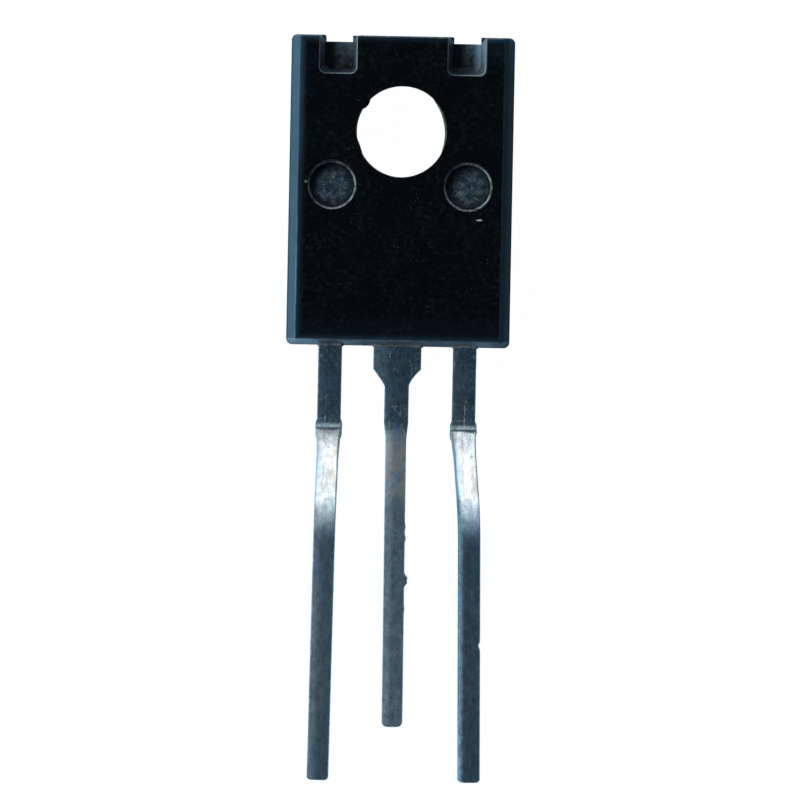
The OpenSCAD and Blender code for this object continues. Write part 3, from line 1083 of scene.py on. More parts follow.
@dataclass(frozen=True)
class SpreaderFinish(TinFinish):
    """The spreader's tin, smeared with resin where its front shows in the clamp notches, with painted light
    and shade.

    Attributes:
        resin: Colour of the dark resin, left bare as painted shade at the left of each notch floor.
        residue_and_light: Colour of the greyer film over it, laid mostly towards each notch's right as
            painted light.
        painted_wall_light: Colour of the painted light at the right wall of a notch.
    """

    name: str = "spreader_metal"
    coordinates: Coordinates = Coordinates.OBJECT
    rough: float = 0.33
    lines: float = 0.6
    crown: float = 0.0
    resin: Colour = (0.0012, 0.0022, 0.0024)
    residue_and_light: Colour = (0.062, 0.082, 0.084)
    painted_wall_light: Colour = (0.42, 0.56, 0.66)

    def cover(self, s: TinSurface) -> list[tuple[Value, bpy.types.NodeSocket]]:
        """The resin with painted shade at the left of each notch, painted light towards its right wall, and
        warm crumbs.
        """
        seen, right = s.z.rise(1.05, 1.2), s.x.rise(0.0, 1.0)
        across = s.x - s.x.math("SIGN", s.x) * PACKAGE.notch_x
        patch = s.noise(s.stretched(s.place, (0.8, 1.2, 1.0)), 5.0, 6.0, 0.8)
        crumbs = s.noise(s.place, 11.0, 4.0, 0.65).rise(0.58, 0.70) * patch.rise(0.42, 0.58)
        # Painted light and shade: each notch floor stays dark at its left and grows lighter towards its right
        # wall.
        smear_and_light = s.layers(
            self.resin,
            (patch.rise(0.34, 0.60) * across.rise(-0.26, 0.05), self.residue_and_light),
            (right * s.y.rise(2.24, 2.14) * 0.6, self.residue_and_light),
            (across.rise(0.16, 0.46) * right, self.painted_wall_light),
            (s.y.rise(2.3, 3.1) * across.rise(-0.25, 0.3) * (patch * 0.5), self.painted_wall_light),
            (crumbs * across.rise(-0.30, -0.10) * 0.55, self.warm))
        return [(seen, smear_and_light)]


@dataclass(frozen=True)
class InnerFinish:
    """Finish of a small part inside the moulding: two colours in clouds of a given grain."""

    name: str
    light: Colour
    dark: Colour
    rough: float
    metallic: float
    grain: float

    def build(self) -> bpy.types.Material:
        """Makes the material."""
        s = Surface(self.name)
        cloud = s.noise(s.place, self.grain, 3.0)
        fine = s.noise(s.place, self.grain * 6.0, 3.0)
        colour = s.blend(cloud.rise(0.3, 0.7), self.light, self.dark)
        rough = (cloud - 0.5) * 0.15 + self.rough
        return s.finish(colour, rough, self.metallic, fine * 0.0012 + cloud * 0.002)


# ---- sub-assemblies -----------------------------------------------------


@dataclass
class MouldedCase:
    """The plastic body with its hole, clamp notches and ejector marks.

    Attributes:
        size: The package's sizes.
        front_corner: Radius of the outline's corners at the front face.
        parting_corner: The same at the parting line.
        back_corner: The same at the back face.
        front_edge: Rounding of the front face's outer edge.
        rim_edge: Rounding of the front face's edges at the hole, the notches and the marks.
        back_edge: Rounding of the back face's edges.
        back_hole_edge: Rounding of the hole's edge in the back face.
        least_turn: Edges that turn less than this many degrees stay as they are.
        flash_reach: How far the outline is set back at the parting line, where flash runs.
        clearance: How far the notch cutters pass the spreader's front.
        least_mouth: Smallest flare of a notch's mouth.
        overcut: How far cutters stand out of the body.
        tool_top: How far the notch cutters rise above the front face.
        mark_draft: Draft of an ejector mark's wall, in degrees.
        mark_dome: Rise of its floor in the middle.
        mark_corner: Size of the corner between floor and wall.
        cavities: CAD nodes that the body is moulded round.
    """

    size: Package = PACKAGE
    front_corner: float = 0.09
    parting_corner: float = 0.20
    back_corner: float = 0.18
    front_edge: float = 0.075
    rim_edge: float = 0.045
    back_edge: float = 0.05
    back_hole_edge: float = 0.03
    least_turn: float = 35.0
    flash_reach: float = 0.014
    clearance: float = 0.02
    least_mouth: float = 0.004
    overcut: float = 0.5
    tool_top: float = 0.6
    mark_draft: float = 19.0
    mark_dome: float = 0.03
    mark_corner: float = 0.02
    cavities: tuple[str, ...] = ("collector_frame", "emitter_lead", "base_lead", "die_solder",
                                 "silicon_die", "emitter_wire", "base_wire")

    def outline(self, z: float, radius: float, inset: float = 0.0) -> list[Flat]:
        """The case's outline at a height."""
        half = self.size.half_width(z) - inset
        low, high = self.size.ends(z)
        return round_rectangle((-half, low + inset), (half, high - inset), radius, 8)

    def block(self) -> bpy.types.Object:
        """The drafted block, set back at the parting line by what the flash stands out."""
        s = self.size
        levels = [(0.0, self.back_corner, 0.0), (s.parting, self.parting_corner, self.flash_reach),
                  (s.thickness, self.front_corner, 0.0)]
        return ring_solid("case_shell", [upright(self.outline(z, r, i), z) for z, r, i in levels])

    def notch_tool(self, side: int) -> bpy.types.Object:
        """Drafted cutter of one clamp notch, open at the hole end."""
        s = self.size
        grow = math.tan(math.radians(s.notch_draft))
        far, radius = s.top + self.overcut, s.notch_corner
        mouths = (s.mouth_outer, s.mouth_inner)
        rings = []
        for z in (s.plate_front - self.clearance, s.thickness + self.tool_top):
            run = (s.thickness - z) * grow
            half, low = s.notch_width / 2 - run, s.top - s.notch_length + run
            walls = arc((half - radius, low + radius), radius, 0, -90, 6)
            walls += arc((radius - half, low + radius), radius, -90, -180, 6)
            outer, inner = (max(self.least_mouth, s.notch_floor_half() + m - half) for m in mouths)
            lips = [s.top - s.mouth_length * m / w for m, w in zip((outer, inner), mouths)]
            left, right = -half - inner, half + outer
            outline = [(left, s.top), (left, far), (right, far), (right, s.top), (half, lips[0]), *walls,
                       (-half, lips[1])]
            placed = [(side * (x + s.notch_x), y, z) for x, y in outline]
            rings.append(placed[::-1] if side > 0 else placed)
        return ring_solid("notch_tool", rings)

    def end_tool(self, side: int) -> bpy.types.Object:
        """Cutter of the gap where the clamp closes on the spreader's end."""
        s = self.size
        half, x, far = s.notch_floor_half(), side * s.notch_x, s.top + self.overcut
        outline = [(x - half, s.plate_top), (x + half, s.plate_top), (x + half, far), (x - half, far)]
        return plate("end_tool", outline, (-self.overcut, s.plate_front))

    def mark_tool(self, side: int) -> bpy.types.Object:
        """Cutter of one ejector mark, with a slightly domed floor."""
        s = self.size
        centre = (side * s.mark_x, s.mark_y)
        floor, above = s.thickness - s.mark_depth, 0.3
        wall = math.tan(math.radians(self.mark_draft))
        radius = s.mark / 2 - s.mark_depth * wall
        steps = [(radius * k, floor + self.mark_dome * (1 - k * k)) for k in (0.25, 0.5, 0.75)]
        steps += [(radius - self.mark_corner, floor), (radius, floor + self.mark_corner),
                  (s.mark / 2 + above * wall, s.thickness + above)]
        return ring_solid("mark_tool", [upright(circle(centre, r, 64), z) for r, z in steps])

    def edge_radius(self, a: Vector, b: Vector, angle: float) -> float:
        """Radius of the rounding on an edge of the cut block.

        Args:
            a: One end of the edge.
            b: Its other end.
            angle: How far the edge's faces turn, in degrees.

        Returns:
            The radius, or 0 where the edge stays as it is.
        """
        s = self.size
        middle = (a + b) / 2
        if angle < self.least_turn:
            return 0.0
        if min(a.z, b.z) > s.thickness - CLOSE:
            low, high = s.ends(s.thickness)
            reach = 0.2
            beside = abs(middle.x) > s.half_width(s.thickness) - reach
            outer = beside or middle.y < low + reach or middle.y > high - CLOSE
            return self.front_edge if outer else self.rim_edge
        if max(a.z, b.z) < CLOSE:
            on_hole = abs(middle.xy.length - s.hole / 2) < 2 * CLOSE
            return self.back_hole_edge if on_hole else self.back_edge
        return 0.0

    def build(self, finish: bpy.types.Material) -> bpy.types.Object:
        """Builds and dresses the case."""
        case = self.block()
        through = (-self.overcut, self.size.thickness + self.overcut)
        join_solid(case, cylinder("hole_tool", self.size.hole / 2, through), Joining.CUT)
        for side in (-1, 1):
            for tool in (self.notch_tool, self.end_tool, self.mark_tool):
                join_solid(case, tool(side), Joining.CUT)
        round_edges(case, self.edge_radius, self.front_edge)
        for node in self.cavities:
            join_solid(case, cad_copy(node), Joining.CUT)
        return finish_piece(case, finish, ["moulded_case"], sharp=36.0)


@dataclass
class MouldFlash:
    """Thin beads of resin: along the parting line, round the marks, in the hole, and round the leads.

    Attributes:
        size: The package's sizes.
        parting_radius: Radius of the bead along the parting line.
        parting_corner: Radius of its route at the body's corners.
        notch_gap: How far it stops from a clamp notch.
        rim_radius: Radius of the bead round an ejector mark.
        rim_out: How far its middle lies outside the mark.
        rim_sunk: How far its middle lies below the front face.
        hole_radius: Radius of the bead on the hole's wall.
        hole_level: Its height.
        hole_arcs: First and last angle of each remnant, in degrees, and how far its middle stands out.
        exit_radius: Radius of the bead round a lead at the body's end.
        exit_corner: Radius of its route at the lead's corners.
        exit_sunk: How far its middle lies inside the body's end.
        exit_lean: How much deeper it lies for each millimetre above the parting line.
        lead_half: Half the width of an outer lead there.
        shoulder_half: Half the width of the middle lead there.
    """

    size: Package = PACKAGE
    parting_radius: float = 0.03
    parting_corner: float = 0.17
    notch_gap: float = 0.02
    rim_radius: float = 0.022
    rim_out: float = 0.035
    rim_sunk: float = 0.008
    hole_radius: float = 0.06
    hole_level: float = 2.3
    hole_arcs: tuple[tuple[int, int, float], ...] = ((135, 151, 0.115), (187, 213, 0.075), (-27, 46, 0.078))
    exit_radius: float = 0.075
    exit_corner: float = 0.07
    exit_sunk: float = 0.03
    exit_lean: float = 0.087
    lead_half: float = 0.40
    shoulder_half: float = 0.81

    def guide(self, name: str, lines: Sequence[Line]) -> bpy.types.Object:
        """Guide edges for beads.

        Args:
            name: The piece's name.
            lines: Points of each line, and whether it closes on itself.

        Returns:
            An object that holds only edges.
        """
        shape = bmesh.new()
        for points, closed in lines:
            verts = [shape.verts.new(p) for p in points]
            for a, b in zip(verts, verts[1:]):
                shape.edges.new((a, b))
            if closed:
                shape.edges.new((verts[-1], verts[0]))
        return object_from(name, shape)

    def parting_lines(self) -> list[Line]:
        """The parting line in two runs, which stop at the clamp notches."""
        s = self.size
        inset, corner = self.parting_radius, self.parting_corner
        half, low, high = s.width / 2 - inset, s.bottom + inset, s.top - inset
        reach = s.notch_floor_half() + self.notch_gap
        gap_in, gap_out = s.notch_x - reach, s.notch_x + reach
        flat = [(gap_out, high), *reversed(arc((half - corner, high - corner), corner, 0, 90, 8))]
        flat += self._steps((half, high - corner), (half, low + corner), 40)
        flat += reversed(arc((half - corner, low + corner), corner, -90, 0, 8))
        flat += self._steps((half - corner, low), (0.0, low), 16)
        flat += [(-x, y) for x, y in reversed(flat)][1:]
        between = self._steps((-gap_in, high), (gap_in, high), 14)
        return [(upright(run, s.parting), False) for run in (flat, between)]

    @staticmethod
    def _steps(start: Flat, end: Flat, count: int) -> list[Flat]:
        """Evenly spaced points past start, up to end."""
        return [(start[0] + (end[0] - start[0]) * i / count, start[1] + (end[1] - start[1]) * i / count)
                for i in range(1, count + 1)]

    def exit_lines(self) -> list[Line]:
        """A loop round each lead at the body's end."""
        s = self.size
        level, t = s.bottom + self.exit_sunk, s.lead_thickness / 2
        lines: list[Line] = []
        for x, half in ((-s.pitch, self.lead_half), (0.0, self.shoulder_half), (s.pitch, self.lead_half)):
            loop = round_rectangle((x - half, s.lead_z - t), (x + half, s.lead_z + t), self.exit_corner, 4)
            lines.append(([(u, level + max(0.0, v - s.parting) * self.exit_lean, v) for u, v in loop], True))
        return lines

    def hole_lines(self) -> list[Line]:
        """Ragged remains of flash on the wall of the screw hole."""
        buried = self.size.hole / 2 + self.hole_radius
        lines: list[Line] = []
        for start, end, reach in self.hole_arcs:
            points = []
            count = 2 * (end - start)
            for i in range(count + 1):
                angle = math.radians(start + i / 2)
                out = buried - reach * abs(math.sin(math.pi * i / count)) ** 0.6
                points.append((out * math.cos(angle), out * math.sin(angle), self.hole_level))
            lines.append((points, False))
        return lines

    def rim_lines(self) -> list[Line]:
        """A ring round each ejector mark."""
        s = self.size
        radius, level = s.mark / 2 + self.rim_out, s.thickness - self.rim_sunk
        return [(upright(circle((side * s.mark_x, s.mark_y), radius, 72), level), True) for side in (-1, 1)]

    def build(self, finish: bpy.types.Material) -> list[bpy.types.Object]:
        """Builds and dresses the beads."""
        bead = Bead()
        runs = [("parting_flash", self.parting_lines(), self.parting_radius, 0.55, 8, 1.0),
                ("mark_rims", self.rim_lines(), self.rim_radius, 0.5, 8, 2.0),
                ("hole_flash", self.hole_lines(), self.hole_radius, 0.5, 8, 4.0),
                ("lead_exit_resin", self.exit_lines(), self.exit_radius, 0.6, 10, 3.0)]
        made = []
        for name, lines, radius, uneven, sides, seed in runs:
            piece = bead.shape(self.guide(name, lines), {
                "Radius": radius, "Unevenness": uneven, "Sides": sides, "Seed": seed, "Finish": finish})
            made.append(finish_piece(piece, None, sharp=80.0))
        return made


@dataclass
class StripBlank:
    """A straight stamped blank, described along its length.

    Attributes:
        name: The piece's name.
        start: Place of its first ring.
        length: Place of its tip.
        edges_at: Its left and right edge at a place.
        thickness: Thickness of the sheet.
        roll: Radius of its front corners, which the punch rolls over.
        burr: Radius of its back corners.
        tip_round: Rounding of its tip.
        step: Distance between its rings.
        marks: Places where the rings lie closer together.
        front_lift: How far its front face stands out at a place along and across it.
        sink: How far it is set off through its thickness at a place.
        left_roll: What is added to the roll of its left corner at a place.
    """

    name: str
    start: float
    length: float
    edges_at: Callable[[float], Flat]
    thickness: float = PACKAGE.lead_thickness
    roll: float = 0.05
    burr: float = 0.04
    tip_round: float = 0.05
    step: float = 0.05
    marks: tuple[float, ...] = ()
    front_lift: Callable[[float, float], float] = field(default=lambda s, u: 0.0)
    sink: Callable[[float], float] = field(default=lambda s: 0.0)
    left_roll: Callable[[float], float] = field(default=lambda s: 0.0)

    def stations(self) -> list[float]:
        """Places along the length where a ring is drawn, closer together at the marks and the tip."""
        count = int((self.length - self.start) / self.step)
        places = {round(self.start + i * self.step, 4) for i in range(count + 1)}
        for mark in self.marks:
            places |= {round(mark + d, 4) for d in (-0.03, -0.012, 0.0, 0.012, 0.03)}
        end = self.length
        places = {p for p in places if p < end - self.tip_round - 0.002}
        turn = [end - self.tip_round * (1 - math.sin(math.radians(a))) for a in (0, 30, 60, 90)]
        return sorted(places) + turn

    def section(self, s: float) -> list[Flat]:
        """The strip's cross-section at a place: across and through."""
        left, right = self.edges_at(s)
        past = max(0.0, s - (self.length - self.tip_round)) / self.tip_round
        shrink = self.tip_round * (1 - math.sqrt(max(0.0, 1 - past * past)))
        left, right, half = left + shrink, right - shrink, self.thickness / 2 - shrink
        middle, quarter = (left + right) / 2, (right - left) / 4
        top_left, top_right, low, flat = self.roll + self.left_roll(s), self.roll, self.burr, 0.02
        outline = arc((left + low, -half + low), low, 180, 270, 3)
        outline += [(middle - quarter, -half), (middle, -half), (middle + quarter, -half)]
        outline += arc((right - low, -half + low), low, 270, 360, 3)
        outline += arc((right - top_right, half - top_right), top_right, 0, 90, 5)
        face = [right - top_right - flat, middle + quarter, middle, middle - quarter, left + top_left + flat]
        outline += [(x, half) for x in face]
        outline += arc((left + top_left, half - top_left), top_left, 90, 180, 5)
        drop = self.sink(s)
        width = max(right - left, 1e-6)
        return [(x, t + drop + (self.front_lift(s, (x - middle) / width * 2) if t > half * 0.3 else 0.0))
                for x, t in outline]

    def build(self) -> bpy.types.Object:
        """Draws the blank along -Y, and keeps its flat coordinates for the grain of its finish."""
        rings = [[(x, -s, t) for x, t in self.section(s)] for s in self.stations()]
        blank = ring_solid(self.name, rings)
        store_flat(blank)
        return blank


@dataclass(kw_only=True)
class FormedLead:
    """A lead that leaves the body straight, bends forward, slopes, bends back and ends straight.

    Places along a lead are measured from the body's end, and are less than 0 inside the body.

    Attributes:
        name: The piece's name.
        stands_for: The CAD node that it replaces.
        size: The package's sizes.
        side: -1 for the left lead, 1 for the right one and 0 for the middle one.
        gap: From the spreader's lead end to the strip's start, less than 0 where they overlap.
        crease: Place of the bend forward.
        angle: Angle of both bends, in degrees.
        upper_radius: Radius of the bend forward.
        slope: Length of the slope between the bends.
        lower_radius: Radius of the bend back.
        reach: How far the tip lies from the body's end.
        splay: Turn to the right beyond the crease, in degrees.
        twist: Turn about the lead's own length beyond the crease, in degrees.
        spare: How much longer the guide is than the strip.
    """

    name: str
    stands_for: str
    size: Package = PACKAGE
    side: int = 0
    gap: float
    crease: float
    angle: float
    upper_radius: float
    slope: float
    lower_radius: float
    reach: float
    splay: float
    twist: float = 0.0
    spare: float = 0.2

    def root(self) -> float:
        """Where the strip starts, measured along it from the body's end."""
        return self.size.bottom - self.size.plate_bottom + self.gap

    def end_length(self) -> float:
        """Length of the straight stretch below the slope."""
        a = math.radians(self.angle)
        run = (self.upper_radius + self.lower_radius) * math.sin(a) + self.slope * math.cos(a)
        return self.reach - self.crease - run

    def length(self) -> float:
        """Length of the strip outside the body, along its middle line."""
        bends = (self.upper_radius + self.lower_radius) * math.radians(self.angle)
        return self.crease + bends + self.slope + self.end_length()

    def form(self, bend: StripBend, blank: StripBlank, finish: bpy.types.Material) -> bpy.types.Object:
        """Bends a blank to the lead's course."""
        return bend.shape(blank.build(), {
            "Root": self.root(), "Crease": self.crease, "Angle": math.radians(self.angle),
            "Upper radius": self.upper_radius, "Slope": self.slope, "Lower radius": self.lower_radius,
            "End": self.end_length() + self.spare, "Body end": self.size.bottom,
            "Height": self.size.lead_z, "Offset": self.side * self.size.pitch,
            "Twist": math.radians(self.twist), "Splay": math.radians(self.splay), "Finish": finish})


@dataclass(kw_only=True)
class OuterLead(FormedLead):
    """An outer lead: bond post, straight, sharp bend forward at the cut tie bar, slope and long end.

    Attributes:
        width: Width down to the crease.
        width_low: Width of the long end.
        taper_ends: Where the width changes, measured from the crease.
        post_edges: Inner and outer edge of the bond post, measured from the package's middle line.
        post_length: Length of the bond post.
        lock_place: Place of the waist that anchors the lead in the body.
        lock_reach: Half its length.
        lock_depth: Its depth on each side.
        stub: How far the cut tie bar stands out on each side.
        stub_ends: Where the stub starts and where it is full, measured from the crease both ways.
        tip_cut: Size of the tip's chamfers.
        nick: Place of a nick in the right edge, if there is one.
        nick_depth: Its depth.
        nick_reach: How far it reaches up and down the lead.
        rounding: What the left front corner gains in radius towards the tip.
        rounding_ends: Where it starts to gain and where it has gained all.
        presses: Height, place past the crease, and width before and after of each press mark.
    """

    gap: float = 0.45
    crease: float = 2.8
    angle: float = 38.0
    upper_radius: float = 0.35
    slope: float = 2.7
    lower_radius: float = 2.5
    reach: float = 14.7
    width: float = 0.80
    width_low: float = 0.73
    taper_ends: Flat = (0.34, 1.15)
    post_edges: Flat = (1.25, 3.1)
    post_length: float = 0.8
    lock_place: float = -0.48
    lock_reach: float = 0.09
    lock_depth: float = 0.14
    stub: float = 0.05
    stub_ends: Flat = (0.30, 0.17)
    tip_cut: float = 0.08
    nick: float | None = None
    nick_depth: float = 0.055
    nick_reach: Flat = (0.07, 0.11)
    rounding: float = 0.0
    rounding_ends: Flat = (4.9, 6.5)
    presses: tuple[tuple[float, float, float, float], ...] = (
        (0.050, 0.02, 0.095, 0.09), (0.02, -0.05, 0.30, 0.10), (-0.010, 0.14, 0.05, 0.06))

    def half_width(self, s: float) -> float:
        """Half the strip's width beyond the bond post."""
        half, low = self.width / 2, self.width_low / 2
        past = s - self.crease
        stub = self.stub * ramp(abs(past), *self.stub_ends)
        tip = max(0.0, s - (self.length() - self.tip_cut))
        return half + (low - half) * ramp(past, *self.taper_ends) + stub - tip

    def edges_at(self, s: float) -> Flat:
        """Left and right edge of the blank."""
        if s < self.root() + self.post_length:
            left, right = (edge - self.size.pitch for edge in self.post_edges)
        else:
            half = self.half_width(s)
            lock = self.lock_depth * hump(s, self.lock_place, self.lock_reach, self.lock_reach)
            left, right = lock - half, half - lock
        if self.side < 0:
            left, right = -right, -left
        if self.nick is not None:
            right -= self.nick_depth * hump(s, self.nick, *self.nick_reach)
        return left, right

    def front_lift(self, s: float, u: float) -> float:
        """The forming tool's mark: a soft lip at the bend and a pressed line just past it.

        Args:
            s: Place along the strip.
            u: Place across it, from -1 to 1.

        Returns:
            How far the front face stands out there.
        """
        lift = sum(height * hump(s, self.crease + past, before, after)
                   for height, past, before, after in self.presses)
        return lift * (1 - 0.15 * u * u)

    def build(self, bend: StripBend, finish: bpy.types.Material) -> bpy.types.Object:
        """Stamps, forms and dresses the lead."""
        blank = StripBlank(
            self.name, self.root(), self.length(), self.edges_at, front_lift=self.front_lift,
            left_roll=lambda s: self.rounding * ramp(s, *self.rounding_ends),
            marks=(self.root() + self.post_length, self.crease - 0.02, self.crease + 0.08))
        formed = self.form(bend, blank, finish)
        return finish_piece(formed, None, [self.stands_for], sharp=50.0)


@dataclass(kw_only=True)
class CollectorFrame(FormedLead):
    """The heat spreader with its bare pad, and the middle lead that grows out of it.

    Attributes:
        shoulder: Width of the lead where it leaves the body.
        shoulder_length: Place where the shoulder ends.
        chamfer: Length over which it narrows.
        chamfer_hollows: How hollow it narrows on the left and on the right; 1 is straight.
        neck: Width below the shoulder.
        neck_end: Place from which the lead has its final width.
        neck_taper: Length over which it narrows to that.
        width_low: The final width.
        tip_radius: Radius of the tip's corners.
        burrs: Place and height of each burr on the right edge.
        burr_reach: How far each reaches up and down the lead.
        burr_limit: The most that burrs add together.
        sink_depth: How far the strip drops to the spreader.
        sink_ends: Where the drop starts and where it ends.
        plate_corner: Radius of the spreader's corners.
        hole: Diameter of the hole in it.
        pad_hole: Diameter of that hole in the bare pad.
        groove_place: Place of the anchoring groove along Y.
        groove_depth: Its depth, and half its width.
        plate_edge: Rounding of the spreader's edges.
        pad_overlap: How far the bare pad is drawn into the plate above it.
        cut_heights: Lower and upper end of the hole's cutter.
    """

    name: str = "collector_frame_metal"
    stands_for: str = "collector_frame"
    gap: float = -0.3
    crease: float = 2.5
    angle: float = 5.0
    upper_radius: float = 6.0
    slope: float = 2.05
    lower_radius: float = 6.0
    reach: float = 12.95
    splay: float = 0.35
    shoulder: float = 1.62
    shoulder_length: float = 0.78
    chamfer: float = 0.58
    chamfer_hollows: Flat = (1.1, 1.5)
    neck: float = 0.82
    neck_end: float = 3.15
    neck_taper: float = 0.55
    width_low: float = 0.70
    tip_radius: float = 0.18
    burrs: tuple[Flat, ...] = ((6.15, 0.025), (6.55, 0.035), (7.88, 0.105), (8.05, 0.10), (8.95, 0.02))
    burr_reach: Flat = (0.10, 0.09)
    burr_limit: float = 0.125
    sink_depth: float = 0.2
    sink_ends: Flat = (-1.70, -2.30)
    plate_corner: float = 0.4
    hole: float = 4.1
    pad_hole: float = 4.6
    groove_place: float = -2.4
    groove_depth: float = 0.21
    plate_edge: float = 0.03
    pad_overlap: float = 0.2
    cut_heights: Flat = (-0.5, 2.0)

    def edges_at(self, s: float) -> Flat:
        """Left and right edge of the blank, from the shoulder to the round tip."""
        chamfer_end = self.shoulder_length + self.chamfer
        if s < chamfer_end:
            share = 1 - ramp(s, self.shoulder_length, chamfer_end)
            out = (self.shoulder - self.neck) / 2
            left, right = (self.neck / 2 + out * share ** power for power in self.chamfer_hollows)
        else:
            share = ramp(s, self.neck_end - self.neck_taper, self.neck_end)
            left = right = (self.neck + (self.width_low - self.neck) * share) / 2
        into_tip = max(0.0, s - (self.length() - self.tip_radius))
        cut = self.tip_radius - math.sqrt(max(0.0, self.tip_radius ** 2 - into_tip ** 2))
        burrs = sum(height * hump(s, place, *self.burr_reach) for place, height in self.burrs)
        return cut - left, right - cut + min(burrs, self.burr_limit)

    def sink(self, s: float) -> float:
        """How far the strip drops to the spreader at its root."""
        share = ramp(s, *self.sink_ends)
        return -self.sink_depth * share * share * (3 - 2 * share)

    def lead(self, bend: StripBend, finish: bpy.types.Material) -> bpy.types.Object:
        """The middle lead, stamped and formed."""
        blank = StripBlank(self.name, self.root(), self.length(), self.edges_at, sink=self.sink,
                           step=0.04, marks=(self.shoulder_length,))
        return self.form(bend, blank, finish)

    def slab(self, name: str, inset: float, heights: Flat) -> bpy.types.Object:
        """One level of the spreader, set in from the spreader's outline."""
        s = self.size
        half = s.plate_width / 2 - inset
        low, high = (-half, s.plate_bottom + inset), (half, s.plate_top - inset)
        return plate(name, round_rectangle(low, high, self.plate_corner, 8), heights)

    def spreader(self) -> bpy.types.Object:
        """The stepped plate with its hole and anchoring groove."""
        s = self.size
        body = self.slab("spreader", 0.0, (s.plate_back, s.plate_front))
        join_solid(body, self.slab("pad", s.pad_step, (0.0, s.plate_back + self.pad_overlap)), Joining.ADD)
        join_solid(body, cylinder("hole", self.hole / 2, self.cut_heights), Joining.CUT)
        pad_cut = (self.cut_heights[0], s.plate_back)
        join_solid(body, cylinder("pad_hole", self.pad_hole / 2, pad_cut), Joining.CUT)
        deep, far, end = self.groove_depth, 0.3, s.plate_width / 2 + 1
        groove = [(0.0, -deep), (deep, 0.0), (deep, far), (-deep, far), (-deep, 0.0)]
        rings = [[(x, self.groove_place + y, s.plate_front + z) for y, z in groove] for x in (-end, end)]
        join_solid(body, ring_solid("groove", rings), Joining.CUT)
        round_edges(body, lambda a, b, angle: self.plate_edge if angle > 60 else 0.0, self.plate_edge)
        return body

    def build(
        self, bend: StripBend, lead_finish: bpy.types.Material, plate_finish: bpy.types.Material,
    ) -> bpy.types.Object:
        """Builds and dresses the frame as one piece of metal."""
        lead = self.lead(bend, lead_finish)
        body = self.spreader()
        body.data.materials.append(plate_finish)
        store_flat(body)
        with bpy.context.temp_override(active_object=lead, selected_editable_objects=[lead, body]):
            bpy.ops.object.join()
        return finish_piece(lead, None, [self.stands_for], sharp=50.0)


@dataclass
class InnerParts:
    """The die, its solder and the bond wires, which keep their CAD shapes."""

    wire_light: Colour = (0.78, 0.79, 0.80)
    wire_dark: Colour = (0.66, 0.67, 0.69)

    def finishes(self) -> dict[str, InnerFinish]:
        """The finish of each hidden node."""
        return {
            "die_solder": InnerFinish("soft_solder", (0.42, 0.43, 0.45), (0.30, 0.31, 0.33), 0.42, 1.0, 6.0),
            "silicon_die": InnerFinish("silicon", (0.16, 0.17, 0.20), (0.10, 0.11, 0.14), 0.18, 0.6, 4.0),
            "emitter_wire": InnerFinish("aluminium_wire", self.wire_light, self.wire_dark, 0.32, 1.0, 9.0),
            "base_wire": InnerFinish("fine_aluminium_wire", self.wire_light, self.wire_dark, 0.34, 1.0, 12.0)}

    def dress(self) -> None:
        """Gives each hidden node its finish."""
        for node, finish in self.finishes().items():
            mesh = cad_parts[node].data
            mesh.materials.clear()
            mesh.materials.append(finish.build())
            log.info("%s: %s", node, finish.name)


# ---- studio -------------------------------------------------------------


@dataclass
class Softbox:
    """A rectangular lamp that points at the object.

    Attributes:
        name: The lamp's name.
        azimuth: Its direction from the object, in degrees: 0 at +X and 90 at +Y.
        elevation: Its height above the floor, in degrees.
        distance: Its distance, in metres.
        width: Its width, in metres.
        height: Its height, in metres.
        radiance: How bright each part of it is.
        colour: Its colour.
        mirrored: Whether it shows in shiny surfaces.
    """

    name: str
    azimuth: float
    elevation: float
    distance: float
    width: float
    height: float
    radiance: float
    colour: Colour
    mirrored: bool = True

    def build(self, target: Vector) -> None:
        """Hangs the lamp."""
        a, e = math.radians(self.azimuth), math.radians(self.elevation)
        away = Vector((math.cos(a) * math.cos(e), math.sin(a) * math.cos(e), math.sin(e)))
        lamp = bpy.data.lights.new(self.name, "AREA")
        lamp.shape = "RECTANGLE"
        lamp.size, lamp.size_y = self.width, self.height
        lamp.energy = self.radiance * math.pi * self.width * self.height
        lamp.color = self.colour
        made = bpy.data.objects.new(self.name, lamp)
        made.location = target + away * self.distance
        made.rotation_mode = "QUATERNION"
        made.rotation_quaternion = away.to_track_quat("Z", "Y")
        made.visible_camera = False
        made.visible_glossy = self.mirrored
        bpy.context.scene.collection.objects.link(made)


